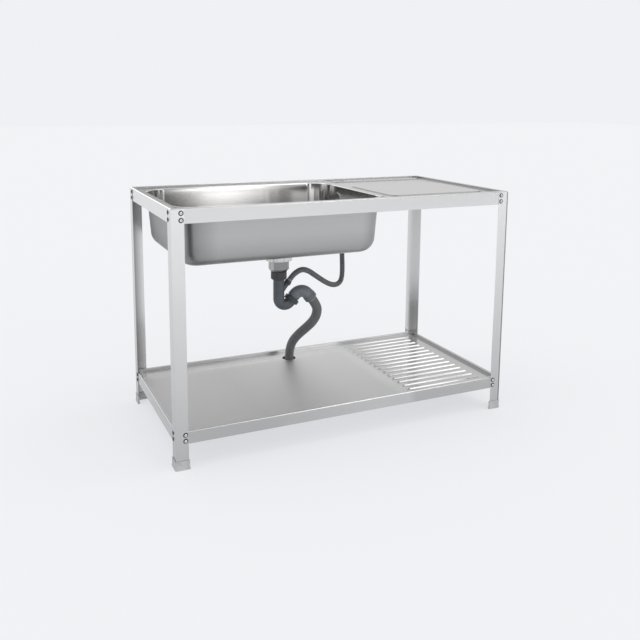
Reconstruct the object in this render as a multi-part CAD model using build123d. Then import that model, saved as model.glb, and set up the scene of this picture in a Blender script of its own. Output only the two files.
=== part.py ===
from build123d import *
import os
from math import cos, radians, sin, tan

os.makedirs("parts", exist_ok=True)

# A free-standing kitchen sink unit: a pressed worktop with one large bowl on its left and a
# drainer platform on its right, carried by four corner legs of angle section, with a lower
# shelf tray, and the waste trap, drain hose and overflow hose under the bowl.
# Frame: +X to the right along the length, +Y to the back, +Z up, millimetres.
# The origin is on the floor, under the middle of the unit.

# ---------------------------------------------------------------- driving dimensions

# whole unit, over the outer faces of the legs
unit_length = 1200.0
unit_depth = 600.0
unit_height = 800.0

# corner legs, equal angle section
leg_width = 40.0
leg_sheet = 1.5
leg_corner_radius = 3.0
leg_top_drop = 3.0

# plastic shoes under the legs
foot_height = 29.0
foot_floor = 3.0
foot_wall = 2.0
foot_flare = 1.2
foot_flare_height = 7.0
foot_flare_edge = 1.1
foot_clearance = 0.15

# worktop sheet
deck_sheet = 1.0
deck_skirt = 46.0
deck_rim_width = 12.0
deck_field_drop = 8.0
deck_hem = 10.0

# shelf tray sheet
tray_top = 120.0
tray_sheet = 1.0
tray_skirt = 40.0
tray_rim_width = 13.0
tray_floor_drop = 10.0
tray_hem = 10.0

# both pressed sheets
sheet_corner_radius = 3.0
sheet_recess_radius = 6.0
rolled_edge_radius = 2.5
rolled_edge_inner_radius = 1.5

# pressed-up ribs and panels
press_slope = 45.0
bead_width = 18.0
bead_height = 3.0
panel_bowl_gap = 38.0
panel_depth = 313.0
panel_corner_radius = 28.0
panel_height = 3.0
panel_right_margin = 52.0
panel_front_margin = 72.0
ledge_bowl_gap = 44.0
ledge_depth = 54.0
ledge_corner_radius = 12.0
ledge_height = 3.0
ledge_right_margin = 38.0
ledge_back_margin = 24.0
faucet_hole_radius = 17.5
faucet_from_ledge_end = 38.0

# drainer ribs of the shelf tray
rib_count = 15
rib_pitch = 36.0
rib_length = 304.0
rib_width = 18.0
rib_height = 4.0
rib_right_margin = 60.0

# bowl
bowl_length = 700.0
bowl_width = 494.0
bowl_corner_radius = 75.0
bowl_depth = 189.0
bowl_sheet = 1.0
bowl_draft = 4.5
bowl_bottom_radius = 50.0
bowl_flange = 12.0
bowl_left_margin = 34.0
bowl_front_margin = 46.0
drain_recess_radius = 60.0
drain_recess_depth = 8.0

# waste position in the bowl
drain_x = -180.0
drain_y = -80.0

# strainer body, turned and hollow
strainer_flange_radius = 56.0
strainer_flange_thickness = 1.5
strainer_tube_radius = 40.0
strainer_tube_length = 27.5
strainer_cup_radius = 35.0
strainer_cup_length = 27.0
strainer_chamfer_length = 7.0
strainer_chamfer_step = 6.0
strainer_wall = 1.5
strainer_seat_step = 1.5
neck_radius = 20.5
neck_length = 16.0
neck_wall = 3.0
strainer_hole_clearance = 1.0
seal_thickness = 1.5
washer_thickness = 3.0
washer_radius = 47.0
locknut_radius = 45.5
locknut_length = 20.0
locknut_notch_count = 12
locknut_notch_radius = 2.4
locknut_notch_outset = 0.6
locknut_edge = 1.0
thread_clearance = 0.1

# strainer basket and its stopper
basket_wall = 1.0
basket_radius = 36.0
basket_bottom_radius = 28.0
basket_straight = 12.0
basket_taper = 32.5
basket_seat_gap = 0.3
basket_lip_radius = 44.0
basket_hub_radius = 6.0
basket_hub_height = 4.0
basket_hole_radius = 2.4
basket_slot_count = 20
basket_slot_width = 3.0
basket_slot_length = 16.0
stem_radius = 3.0
stem_clearance = 0.05
knob_radius = 11.0
knob_height = 10.0
knob_waist_radius = 5.0
knob_waist_height = 5.0
knob_edge_width = 2.0
knob_edge_height = 1.5
knob_above_basket_floor = 34.0
stopper_radius = 24.0
stopper_thickness = 6.0
stopper_edge = 2.0
stopper_seat_gap = 0.3

# trap: tailpiece, bend, spigot for the overflow, in one moulding
pipe_radius = 19.0
pipe_wall = 2.2
collar_radius = 20.4
collar_thickness = 3.5
pipe_washer_thickness = 2.0
slip_nut_radius = 27.0
slip_nut_length = 30.0
slip_nut_chamfer = 3.0
bend_radius = 23.0
bend_drop = 99.0
bend_heading = 52.0
thread_end_length = 8.0
trap_nut_radius = 26.0
trap_nut_length = 16.0
trap_nut_start = 1.0
trap_nut_chamfer = 2.0
grip_count = 24
grip_radius = 1.1
grip_outset = 0.3
spigot_drop = 87.0
spigot_radius = 8.5
spigot_bore = 6.3
spigot_length = 52.0
spigot_barb = 16.0

# outlet elbow and drain hose
elbow_radius = 21.0
elbow_wall = 2.5
elbow_lead = 26.0
elbow_arc_radius = 32.0
elbow_end_heading = -50.0
elbow_body_start = 20.0
elbow_tail = 4.0
elbow_thread_length = 10.0
hose_nut_radius = 22.5
hose_nut_length = 18.0
hose_nut_chamfer = 1.5
hose_radius = 17.0
hose_root_radius = 15.3
hose_bore_radius = 13.6
hose_rib_pitch = 5.0
hose_cuff = 14.0
hose_clearance = 0.15
hose_hole_radius = 25.0
end_cuff_radius = 19.5
end_cuff_grip = 16.0
end_cuff_tail = 34.0

# overflow, on the bowl's right wall
overflow_y = 105.0
overflow_drop = 53.0
overflow_hole_radius = 13.0
overflow_seal_thickness = 2.0
overflow_seal_radius = 25.0
overflow_flange_radius = 26.0
overflow_flange_thickness = 3.0
overflow_chamber_radius = 14.0
overflow_chamber_wall = 2.0
overflow_reach = 17.2
overflow_chamber_beyond = 12.0
overflow_collar_radius = 10.5
overflow_collar_drop = 30.0
overflow_cover_radius = 27.0
overflow_cover_thickness = 2.5
overflow_cover_edge_width = 2.0
overflow_cover_edge_height = 1.0
overflow_slot_count = 8
overflow_slot_length = 7.0
overflow_slot_width = 3.0
overflow_slot_circle = 19.0
overflow_post_radius = 4.0
overflow_hose_radius = 9.75
overflow_hose_root_radius = 8.9
overflow_hose_bore_radius = 7.75
overflow_hose_rib_pitch = 3.6
overflow_hose_cuff = 12.0
barb_clearance = 0.15
union_nut_radius = 11.6
union_nut_start = 46.5
union_nut_length = 14.0
union_nut_chamfer = 1.2

# ribs of both hoses, as shares of their pitch, and the share of a run that a bend takes
rib_root_share = 0.3
rib_side_share = 0.2
rib_crest_share = 0.3
bend_share = 0.45

# cross-recess pan-head screws and hexagon nuts at the corners
screw_radius = 2.5
screw_length = 8.5
screw_head_radius = 4.75
screw_head_height = 2.6
screw_head_round = 1.8
screw_tip_edge = 0.5
screw_hole_clearance = 0.25
recess_width = 1.1
recess_span = 5.2
recess_depth = 1.5
nut_across_flats = 8.0
nut_thickness = 4.0
nut_clearance = 0.05
screw_from_corner = 31.0
top_screw_drops = (14.0, 35.0)
shelf_screw_drops = (10.0, 29.0)

# ---------------------------------------------------------------- derived places

deck_length = unit_length - 2 * leg_sheet
deck_depth = unit_depth - 2 * leg_sheet
deck_field = unit_height - deck_field_drop
bead_top = deck_field + bead_height
tray_floor = tray_top - tray_floor_drop

bowl_x = -unit_length / 2 + bowl_left_margin + bowl_length / 2
bowl_y = -unit_depth / 2 + bowl_front_margin + bowl_width / 2
bowl_top = bead_top - deck_sheet
bowl_floor = bead_top - bowl_depth
recess_floor = bowl_floor - drain_recess_depth

right_of_bowl = unit_length - bowl_left_margin - bowl_length
panel_length = right_of_bowl - panel_bowl_gap - panel_right_margin
ledge_length = right_of_bowl - ledge_bowl_gap - ledge_right_margin
panel_x = unit_length / 2 - panel_right_margin - panel_length / 2
panel_y = -unit_depth / 2 + panel_front_margin + panel_depth / 2
ledge_x = unit_length / 2 - ledge_right_margin - ledge_length / 2
ledge_y = unit_depth / 2 - ledge_back_margin - ledge_depth / 2
faucet_x = ledge_x - ledge_length / 2 + faucet_from_ledge_end
faucet_y = ledge_y

rib_x = unit_length / 2 - rib_right_margin - rib_length / 2

flange_bottom = recess_floor + seal_thickness
flange_top = flange_bottom + strainer_flange_thickness
tube_bottom = flange_bottom - strainer_tube_length
cup_bottom = tube_bottom - strainer_cup_length
chamfer_bottom = cup_bottom - strainer_chamfer_length
neck_bottom = chamfer_bottom - neck_length
cup_bore = strainer_cup_radius - strainer_wall
tube_bore = strainer_tube_radius - strainer_wall
neck_bore = neck_radius - neck_wall
cup_floor = chamfer_bottom + strainer_wall
washer_top = recess_floor - bowl_sheet
washer_bottom = washer_top - washer_thickness
locknut_bottom = washer_bottom - locknut_length

basket_floor = flange_top - basket_straight - basket_taper
pipe_top = neck_bottom - pipe_washer_thickness
pipe_bore = pipe_radius - pipe_wall
slip_nut_bottom = chamfer_bottom - slip_nut_length
bend_z = chamfer_bottom - bend_drop
spigot_z = chamfer_bottom - spigot_drop


def heading(angle):
    """Unit vector in the XZ plane, at an angle above +X."""
    return Vector(cos(radians(angle)), 0, sin(radians(angle)))


# end of the trap's bend, where the pipe rises towards the outlet elbow
bend_end = Vector(drain_x + bend_radius + bend_radius * sin(radians(bend_heading)), drain_y,
                  bend_z - bend_radius * cos(radians(bend_heading)))
rise = heading(bend_heading)
washer_start = thread_end_length
elbow_start = washer_start + pipe_washer_thickness
elbow_bend_start = bend_end + rise * elbow_lead
elbow_centre = elbow_bend_start + heading(bend_heading - 90) * elbow_arc_radius
fall = heading(elbow_end_heading)
elbow_bend_end = elbow_centre + heading(elbow_end_heading + 90) * elbow_arc_radius
elbow_thread_start = elbow_bend_end + fall * elbow_tail
hose_start = elbow_thread_start + fall * elbow_thread_length

spigot_root = Vector(drain_x, drain_y, spigot_z)
spigot_way = heading(bend_heading)
spigot_shoulder = spigot_root + spigot_way * spigot_length

# the overflow sits square on the bowl's leaning right wall
wall_lean = tan(radians(bowl_draft))
overflow_z = bead_top - overflow_drop
overflow_wall_x = (bowl_x + bowl_length / 2 - (bowl_top - overflow_z) * wall_lean
                   + bowl_sheet / cos(radians(bowl_draft)))
overflow_axis_x = overflow_wall_x + overflow_reach
overflow_collar_bottom = overflow_z - overflow_collar_drop
wall_frame = Plane(origin=(overflow_wall_x, overflow_y, overflow_z), x_dir=(0, 1, 0),
                   z_dir=(cos(radians(bowl_draft)), 0, -sin(radians(bowl_draft))))

# middle lines of the two hoses, from their first end to their last
hose_hole = (-20.0, 215.0)
hose_end_z = 46.0
drain_hose_lead = 46.3
overflow_hose_lead = 27.0
drain_route = [
    tuple(hose_start),
    tuple(hose_start + fall * drain_hose_lead),
    (-24.0, -52.0, 357.0),
    (-23.0, -12.0, 319.0),
    (-29.0, 37.0, 282.0),
    (-35.0, 88.0, 245.0),
    (-35.0, 137.0, 208.0),
    (-28.0, 181.0, 170.0),
    (*hose_hole, 124.0),
    (*hose_hole, hose_end_z),
]
overflow_route = [
    tuple(spigot_shoulder),
    tuple(spigot_shoulder + spigot_way * overflow_hose_lead),
    (-112.0, -74.0, 525.0),
    (-84.0, -58.0, 529.0),
    (-52.0, -38.0, 517.0),
    (-19.0, -15.0, 495.0),
    (15.0, 9.0, 472.0),
    (49.0, 33.0, 450.0),
    (84.0, 57.0, 431.0),
    (118.0, 79.0, 423.0),
    (142.0, 95.0, 429.0),
    (152.0, 102.0, 451.0),
    (154.0, 105.5, 488.0),
    (152.5, 107.0, 540.0),
    (149.5, 106.5, 598.0),
    (overflow_axis_x, overflow_y, 655.0),
    (overflow_axis_x, overflow_y, overflow_collar_bottom),
]


# ---------------------------------------------------------------- shared shapes

def block(length, depth, low, high, corner=0.0, at=(0.0, 0.0)):
    """Upright block between two heights, with rounded corners in plan."""
    outline = RectangleRounded(length, depth, corner) if corner > 0 else Rectangle(length, depth)
    return extrude(Plane((at[0], at[1], low)) * outline, amount=high - low)


def turned(profile, frame=Plane.XY):
    """Ring or cup turned about the frame's Z axis from a closed list of (radius, height)."""
    outline = make_face(Polyline(*[(r, 0, z) for r, z in profile], close=True))
    return frame * revolve(outline, Axis.Z)


def rod(radius, start, way, low, high):
    """Round bar along a direction, between two distances from its start."""
    frame = Plane(origin=start + way * low, z_dir=way)
    return extrude(frame * Circle(radius), amount=high - low)


def grooved(body, frame, radius, low, high, count, cut_radius):
    """Cut grip grooves along a round body, evenly spaced round the frame's Z axis."""
    for turn in range(count):
        spot = frame * Rot(0, 0, 360 / count * turn) * Pos(radius, 0, low)
        body -= spot * Cylinder(cut_radius, high - low,
                                align=(Align.CENTER, Align.CENTER, Align.MIN))
    return body


def upright(x, y, z):
    """Frame at a point, with its Z axis straight up."""
    return Plane((x, y, z))


def pressed_sheet(top, skirt, rim, drop, sheet, hem):
    """Folded sheet: raised rim, sunken field, skirt and inward hem, one thickness throughout."""
    length, depth = deck_length, deck_depth
    bottom = top - skirt
    field = top - drop
    body = block(length, depth, bottom, top, sheet_corner_radius)
    body = fillet(body.edges().group_by(Axis.Z)[-1], rolled_edge_radius)
    body -= block(length - 2 * rim, depth - 2 * rim, field, top, sheet_recess_radius)
    body -= block(length - 2 * sheet, depth - 2 * sheet, bottom + sheet, field - sheet,
                  sheet_corner_radius - sheet)
    body -= block(length - 2 * hem, depth - 2 * hem, bottom, bottom + sheet)
    hollow = block(length - 2 * sheet, depth - 2 * sheet, field - sheet, top - sheet,
                   sheet_corner_radius - sheet)
    hollow = fillet(hollow.edges().group_by(Axis.Z)[-1], rolled_edge_inner_radius)
    wall = 2 * (rim - sheet)
    hollow -= block(length - wall, depth - wall, field - sheet, top - sheet,
                    sheet_recess_radius + sheet)
    return body - hollow


def press_up(body, outline, inner_outline, surface, height, sheet):
    """Raise an area of a sheet by a height, with sloped sides and the sheet's thickness."""
    raised = extrude(Plane.XY.offset(surface) * outline, amount=height, taper=press_slope)
    hollow = extrude(Plane.XY.offset(surface - sheet) * inner_outline, amount=height,
                     taper=press_slope)
    return body + raised - hollow


def inset(sheet):
    """Plan inset that keeps the sheet's thickness on a pressed slope."""
    return sheet * tan(radians((90 - press_slope) / 2))


def corner_places(drops, top):
    """Frames of the screws: outward normals on both flanges of the four legs."""
    places = []
    reach_x = unit_length / 2 - screw_from_corner
    reach_y = unit_depth / 2 - screw_from_corner
    for drop in drops:
        z = top - drop
        for side_x in (-1, 1):
            for side_y in (-1, 1):
                places.append(Plane((side_x * reach_x, side_y * unit_depth / 2, z),
                                    x_dir=(1, 0, 0), z_dir=(0, side_y, 0)))
                places.append(Plane((side_x * unit_length / 2, side_y * reach_y, z),
                                    x_dir=(0, 1, 0), z_dir=(side_x, 0, 0)))
    return places


def screw_holes(places):
    """Clearance holes for a set of screws, through leg and skirt."""
    hole = Cylinder(screw_radius + screw_hole_clearance, 4 * (leg_sheet + deck_sheet))
    return [place * hole for place in places]


def group(solids):
    """Several separate solids in one node."""
    return Compound(children=list(solids))


top_places = corner_places(top_screw_drops, unit_height)
shelf_places = corner_places(shelf_screw_drops, tray_top)


# ---------------------------------------------------------------- frame: legs, feet, screws

def angle_outline(arm, thickness, corner, offset, side_x, side_y):
    """L outline with its outer corner at one corner of the unit, grown by an offset."""
    wide = arm + 2 * offset
    thick = thickness + 2 * offset
    outline = Rectangle(wide, wide, align=Align.MIN)
    outline -= Pos(thick, thick) * Rectangle(wide, wide, align=Align.MIN)
    heel = outline.vertices().sort_by_distance((0, 0))[0]
    outline = fillet(heel, corner + offset)
    outline = Pos(-unit_length / 2 - offset, -unit_depth / 2 - offset) * outline
    outline = outline.face()
    if side_x > 0:
        outline = outline.mirror(Plane.YZ)
    if side_y > 0:
        outline = outline.mirror(Plane.XZ)
    return outline


def raise_outline(outline, low, high):
    """Solid over a flat outline, between two heights."""
    return extrude(Plane.XY.offset(low) * outline, amount=high - low, dir=(0, 0, 1))


def make_leg(side_x, side_y):
    outline = angle_outline(leg_width, leg_sheet, leg_corner_radius, 0, side_x, side_y)
    leg = raise_outline(outline, foot_floor, unit_height - leg_top_drop)
    for hole in screw_holes(top_places + shelf_places):
        leg -= hole
    return leg


def make_foot(side_x, side_y):
    shell = foot_clearance + foot_wall
    upper = angle_outline(leg_width, leg_sheet, leg_corner_radius, shell, side_x, side_y)
    lower = angle_outline(leg_width, leg_sheet, leg_corner_radius, shell + foot_flare,
                          side_x, side_y)
    pocket = angle_outline(leg_width, leg_sheet, leg_corner_radius, foot_clearance,
                           side_x, side_y)
    foot = raise_outline(lower, 0, foot_flare_height)
    foot = chamfer(foot.edges().group_by(Axis.Z)[-1], foot_flare_edge)
    foot += raise_outline(upper, 0, foot_height)
    return foot - raise_outline(pocket, foot_floor, foot_height)


def make_screw():
    """Pan-head screw with a cross recess, its head's seat at height 0 and its shank below."""
    dome = Cylinder(screw_head_radius, screw_head_height,
                    align=(Align.CENTER, Align.CENTER, Align.MIN))
    dome = fillet(dome.edges().group_by(Axis.Z)[-1], screw_head_round)
    for turn in (0, 90):
        dome -= Rot(0, 0, turn) * Pos(0, 0, screw_head_height) * Box(
            recess_span, recess_width, 2 * recess_depth)
    shank = Cylinder(screw_radius, screw_length, align=(Align.CENTER, Align.CENTER, Align.MAX))
    return dome + chamfer(shank.edges().group_by(Axis.Z)[0], screw_tip_edge)


def make_nut():
    """Hexagon nut behind the leg's flange and the skirt."""
    body = extrude(RegularPolygon(nut_across_flats / 2, 6, major_radius=False),
                   amount=-nut_thickness)
    bore = Cylinder(screw_radius + nut_clearance, 4 * nut_thickness)
    return Pos(0, 0, -leg_sheet - deck_sheet) * (body - bore)


# ---------------------------------------------------------------- worktop, bowl and shelf

def make_deck():
    deck = pressed_sheet(unit_height, deck_skirt, deck_rim_width, deck_field_drop, deck_sheet,
                         deck_hem)
    step = inset(deck_sheet)
    areas = [
        (bowl_x, bowl_y, bowl_length + 2 * bead_width, bowl_width + 2 * bead_width,
         bowl_corner_radius + bead_width, bead_height),
        (panel_x, panel_y, panel_length, panel_depth, panel_corner_radius, panel_height),
        (ledge_x, ledge_y, ledge_length, ledge_depth, ledge_corner_radius, ledge_height),
    ]
    for x, y, length, depth, corner, height in areas:
        outer = Pos(x, y) * RectangleRounded(length, depth, corner)
        inner = Pos(x, y) * RectangleRounded(length - 2 * step, depth - 2 * step, corner - step)
        deck = press_up(deck, outer, inner, deck_field, height, deck_sheet)
    deck -= block(bowl_length, bowl_width, deck_field - deck_sheet, unit_height,
                  bowl_corner_radius, (bowl_x, bowl_y))
    deck -= Pos(faucet_x, faucet_y, deck_field) * Cylinder(faucet_hole_radius, 8 * deck_sheet)
    for hole in screw_holes(top_places):
        deck -= hole
    return deck


def bowl_body(grow, depth):
    """Drawn bowl shape as a full block, with leaning walls and a round bottom edge."""
    outline = RectangleRounded(bowl_length + 2 * grow, bowl_width + 2 * grow,
                               bowl_corner_radius + grow)
    down = Plane(origin=(bowl_x, bowl_y, bowl_top), x_dir=(1, 0, 0), z_dir=(0, 0, -1))
    body = extrude(down * outline, amount=depth, taper=bowl_draft)
    return fillet(body.edges().group_by(Axis.Z)[0], bowl_bottom_radius + grow)


def make_bowl():
    depth = bowl_top - bowl_floor
    wide = bowl_length + 2 * bowl_flange
    deep = bowl_width + 2 * bowl_flange
    body = bowl_body(bowl_sheet, depth + bowl_sheet)
    body += block(wide, deep, bowl_top - bowl_sheet, bowl_top,
                  bowl_corner_radius + bowl_flange, (bowl_x, bowl_y))
    seat = upright(drain_x, drain_y, 0)
    low = recess_floor - bowl_sheet
    ease = drain_recess_depth
    body += turned([(0, low), (drain_recess_radius + bowl_sheet, low),
                    (drain_recess_radius + bowl_sheet + ease, bowl_floor), (0, bowl_floor)], seat)
    body -= bowl_body(0, depth)
    body -= turned([(0, recess_floor), (drain_recess_radius, recess_floor),
                    (drain_recess_radius + ease, bowl_floor), (0, bowl_floor)], seat)
    body -= seat * Pos(0, 0, recess_floor) * Cylinder(
        strainer_tube_radius + strainer_hole_clearance, 4 * bowl_sheet)
    return body - wall_frame * Cylinder(overflow_hole_radius, 6 * bowl_sheet)


def make_tray():
    tray = pressed_sheet(tray_top, tray_skirt, tray_rim_width, tray_floor_drop, tray_sheet,
                         tray_hem)
    step = inset(tray_sheet)
    for row in range(rib_count):
        y = (row - (rib_count - 1) / 2) * rib_pitch
        outer = Pos(rib_x, y) * SlotOverall(rib_length, rib_width)
        inner = Pos(rib_x, y) * SlotOverall(rib_length - 2 * step, rib_width - 2 * step)
        tray = press_up(tray, outer, inner, tray_floor, rib_height, tray_sheet)
    tray -= Pos(hose_hole[0], hose_hole[1], tray_floor) * Cylinder(hose_hole_radius,
                                                                   8 * tray_sheet)
    for hole in screw_holes(shelf_places):
        tray -= hole
    return tray


# ---------------------------------------------------------------- strainer

drain = upright(drain_x, drain_y, 0)


def make_strainer_body():
    """Flange in the bowl, threaded tube through it, cup with a sloped floor and a neck."""
    bevel = strainer_wall
    profile = [
        (strainer_flange_radius, flange_bottom), (strainer_flange_radius, flange_top),
        (tube_bore + strainer_seat_step, flange_top), (tube_bore, flange_top - strainer_seat_step),
        (tube_bore, tube_bottom + bevel), (cup_bore, tube_bottom + bevel),
        (cup_bore, cup_bottom), (cup_bore - strainer_chamfer_step, cup_floor),
        (neck_bore, cup_floor), (neck_bore, neck_bottom), (neck_radius, neck_bottom),
        (neck_radius, chamfer_bottom),
        (strainer_cup_radius - strainer_chamfer_step, chamfer_bottom),
        (strainer_cup_radius, cup_bottom), (strainer_cup_radius, tube_bottom),
        (strainer_tube_radius, tube_bottom), (strainer_tube_radius, flange_bottom),
    ]
    return turned(profile, drain)


def make_ring(inner, outer, low, high):
    """Flat ring on the waste's axis."""
    return turned([(inner, low), (outer, low), (outer, high), (inner, high)], drain)


def make_locknut():
    bore = strainer_tube_radius + thread_clearance
    nut = make_ring(bore, locknut_radius, locknut_bottom, washer_bottom)
    nut = chamfer(nut.edges().group_by(Axis.Z)[0].sort_by(SortBy.LENGTH)[-1],
                  locknut_edge)
    return grooved(nut, drain, locknut_radius + locknut_notch_outset, locknut_bottom,
                   washer_bottom, locknut_notch_count, locknut_notch_radius)


def make_basket():
    """Lift-out basket: a flat lip on the strainer's flange, slotted wall and pierced floor."""
    lip = flange_top + basket_seat_gap
    shoulder = basket_floor + basket_taper
    inner = basket_radius - basket_wall
    profile = [
        (basket_radius, lip), (basket_lip_radius, lip), (basket_lip_radius, lip + basket_wall),
        (inner, lip + basket_wall), (inner, shoulder),
        (basket_bottom_radius - basket_wall, basket_floor + basket_wall),
        (stem_radius + stem_clearance, basket_floor + basket_wall),
        (stem_radius + stem_clearance, basket_floor), (basket_bottom_radius, basket_floor),
        (basket_radius, shoulder),
    ]
    basket = turned(profile, drain)
    reach = (basket_bottom_radius + basket_hub_radius) / 2
    basket += make_ring(stem_radius + stem_clearance, basket_hub_radius, basket_floor,
                        basket_floor + basket_hub_height)
    for turn in range(basket_slot_count):
        around = drain * Rot(0, 0, 360 / basket_slot_count * turn)
        basket -= around * Pos(basket_radius, 0, basket_floor + basket_taper / 2) * Box(
            basket_slot_length, basket_slot_width, basket_slot_length)
        if turn % 2 == 0:
            basket -= around * Pos(reach, 0, basket_floor) * Cylinder(
                basket_hole_radius, 8 * basket_wall)
    return basket


def make_stopper_stem():
    """Knob and stem; the stem slides in the basket's hub and carries the rubber stopper."""
    disc_top = cup_floor + stopper_seat_gap + stopper_thickness
    knob_top = basket_floor + knob_above_basket_floor
    knob_bottom = knob_top - knob_height
    profile = [
        (0, disc_top), (stem_radius, disc_top), (stem_radius, knob_bottom),
        (knob_waist_radius, knob_bottom), (knob_radius, knob_bottom + knob_waist_height),
        (knob_radius, knob_top - knob_edge_height), (knob_radius - knob_edge_width, knob_top),
        (0, knob_top),
    ]
    return turned(profile, drain)


def make_stopper():
    bottom = cup_floor + stopper_seat_gap
    top = bottom + stopper_thickness
    return turned([(0, bottom), (stopper_radius - stopper_edge, bottom),
                   (stopper_radius, bottom + stopper_edge), (stopper_radius, top), (0, top)],
                  drain)


# ---------------------------------------------------------------- trap and elbow

def pipe(radius, path):
    """Round bar along a path, from its first point."""
    start = path.edges()[0]
    return sweep(Plane(origin=start @ 0, z_dir=start % 0) * Circle(radius), path=path)


def trap_path():
    """Down the tailpiece, round the bend and up to the outlet."""
    top = Vector(drain_x, drain_y, pipe_top)
    turn_start = Vector(drain_x, drain_y, bend_z)
    centre = Vector(drain_x + bend_radius, drain_y, bend_z)
    half = (bend_heading - 90) / 2 - 90
    middle = centre + heading(half) * bend_radius
    down = Line(tuple(top), tuple(turn_start))
    round_bend = ThreePointArc(tuple(turn_start), tuple(middle), tuple(bend_end))
    up = Line(tuple(bend_end), tuple(bend_end + rise * thread_end_length))
    return Wire([down, round_bend, up])


def make_trap():
    trap = pipe(pipe_radius, trap_path())
    top = Vector(drain_x, drain_y, pipe_top)
    down = Vector(0, 0, -1)
    trap += rod(collar_radius, top, down, 0, collar_thickness)
    trap += rod(collar_radius, bend_end, rise, 0, thread_end_length)
    trap += rod(spigot_radius, spigot_root, spigot_way, 0, spigot_length)
    barb = overflow_hose_bore_radius - barb_clearance
    trap += rod(barb, spigot_root, spigot_way, spigot_length, spigot_length + spigot_barb)
    trap -= rod(spigot_bore, spigot_root, spigot_way, 0, spigot_length + spigot_barb)
    return trap - pipe(pipe_bore, trap_path())


def make_slip_nut(radius, start, way, length, grip, lip, edge):
    """Grooved nut: a wide bore over the thread and a narrow lip behind the collar."""
    nut = rod(radius, start, way, 0, length)
    ends = nut.edges().filter_by(GeomType.CIRCLE)
    nut = chamfer(ends, edge)
    frame = Plane(origin=start, z_dir=way)
    nut = grooved(nut, frame, radius + grip_outset, 0, length, grip_count, grip_radius)
    wide = neck_radius + thread_clearance
    nut -= rod(wide, start, way, 0, grip)
    return nut - rod(lip, start, way, grip, length)


def make_tailpiece_nut():
    start = Vector(drain_x, drain_y, chamfer_bottom)
    grip = neck_length + pipe_washer_thickness + collar_thickness
    return make_slip_nut(slip_nut_radius, start, Vector(0, 0, -1), slip_nut_length, grip,
                         pipe_radius + hose_clearance, slip_nut_chamfer)


def make_trap_nut():
    start = bend_end + rise * trap_nut_start
    grip = elbow_start + collar_thickness - trap_nut_start
    return make_slip_nut(trap_nut_radius, start, rise, trap_nut_length, grip,
                         pipe_radius + hose_clearance, trap_nut_chamfer)


def make_elbow():
    """Wide elbow from the trap's nut over the top and down to the drain hose."""
    body_start = bend_end + rise * elbow_body_start
    middle = elbow_centre + heading((bend_heading + elbow_end_heading) / 2 + 90) * elbow_arc_radius
    lead = Line(tuple(body_start), tuple(elbow_bend_start))
    over = ThreePointArc(tuple(elbow_bend_start), tuple(middle), tuple(elbow_bend_end))
    tail = Line(tuple(elbow_bend_end), tuple(elbow_thread_start))
    elbow = pipe(elbow_radius, Wire([lead, over, tail]))
    elbow += rod(pipe_radius, bend_end, rise, elbow_start, elbow_body_start)
    elbow += rod(collar_radius, bend_end, rise, elbow_start, elbow_start + collar_thickness)
    elbow += rod(pipe_radius, elbow_thread_start, fall, 0, elbow_thread_length)
    bore_lead = Line(tuple(bend_end + rise * elbow_start), tuple(elbow_bend_start))
    bore_tail = Line(tuple(elbow_bend_end), tuple(hose_start))
    return elbow - pipe(pipe_radius - elbow_wall, Wire([bore_lead, over, bore_tail]))


def make_hose_nut():
    """Union nut over the elbow's thread and the hose's plain end."""
    nut = rod(hose_nut_radius, elbow_thread_start, fall, 0, hose_nut_length)
    nut = chamfer(nut.edges().filter_by(GeomType.CIRCLE), hose_nut_chamfer)
    frame = Plane(origin=elbow_thread_start, z_dir=fall)
    nut = grooved(nut, frame, hose_nut_radius + grip_outset, 0, hose_nut_length, grip_count,
                  grip_radius)
    nut -= rod(pipe_radius + thread_clearance, elbow_thread_start, fall, 0, elbow_thread_length)
    return nut - rod(hose_radius + hose_clearance, elbow_thread_start, fall, 0, hose_nut_length)


# ---------------------------------------------------------------- hoses

def route_path(name, route):
    """Straight runs joined by arcs as large as the runs allow; prints the arcs' radii."""
    points = [Vector(*point) for point in route]
    runs = [b - a for a, b in zip(points, points[1:])]
    radii = []
    for before, after in zip(runs, runs[1:]):
        half_turn = radians(before.get_angle(after)) / 2
        radii.append(bend_share * min(before.length, after.length) / tan(half_turn))
    print(name, "radii", [round(radius, 1) for radius in radii])
    return FilletPolyline(*[tuple(point) for point in points], radius=radii)


def ribbed_hose(name, route, crest, root, bore, pitch, cuff, steady):
    """Ribbed hose: plain cuffs at both ends, trapezoid ribs between them, and a round bore."""
    path = route_path(name, route)
    total = path.length
    count = int((total - 2 * cuff) / pitch)
    step = (total - 2 * cuff) / count
    climb = step * rib_side_share
    stations = [(0.0, crest), (cuff - climb, crest)]
    for rib in range(count):
        base = cuff + rib * step
        flat = base + step * rib_root_share
        stations += [(base, root), (flat, root),
                     (flat + climb, crest), (flat + climb + step * rib_crest_share, crest)]
    stations.append((total, crest))
    rings = []
    for distance, radius in stations:
        share = distance / total
        frame = Plane(origin=path @ share, x_dir=steady, z_dir=path % share)
        rings.append(Wire.make_circle(radius, frame))
    skin = Solid.make_loft(rings, ruled=True)
    hose = skin - pipe(bore, path)
    print(name, "length", round(total, 1), "ribs", count, "volume", round(hose.volume))
    return hose


def make_drain_hose():
    return ribbed_hose("drain hose", drain_route, hose_radius, hose_root_radius,
                       hose_bore_radius, hose_rib_pitch, hose_cuff, (1, 0, 0))


def make_overflow_hose():
    return ribbed_hose("overflow hose", overflow_route, overflow_hose_radius,
                       overflow_hose_root_radius, overflow_hose_bore_radius,
                       overflow_hose_rib_pitch, overflow_hose_cuff, (0, 1, 0))


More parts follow.
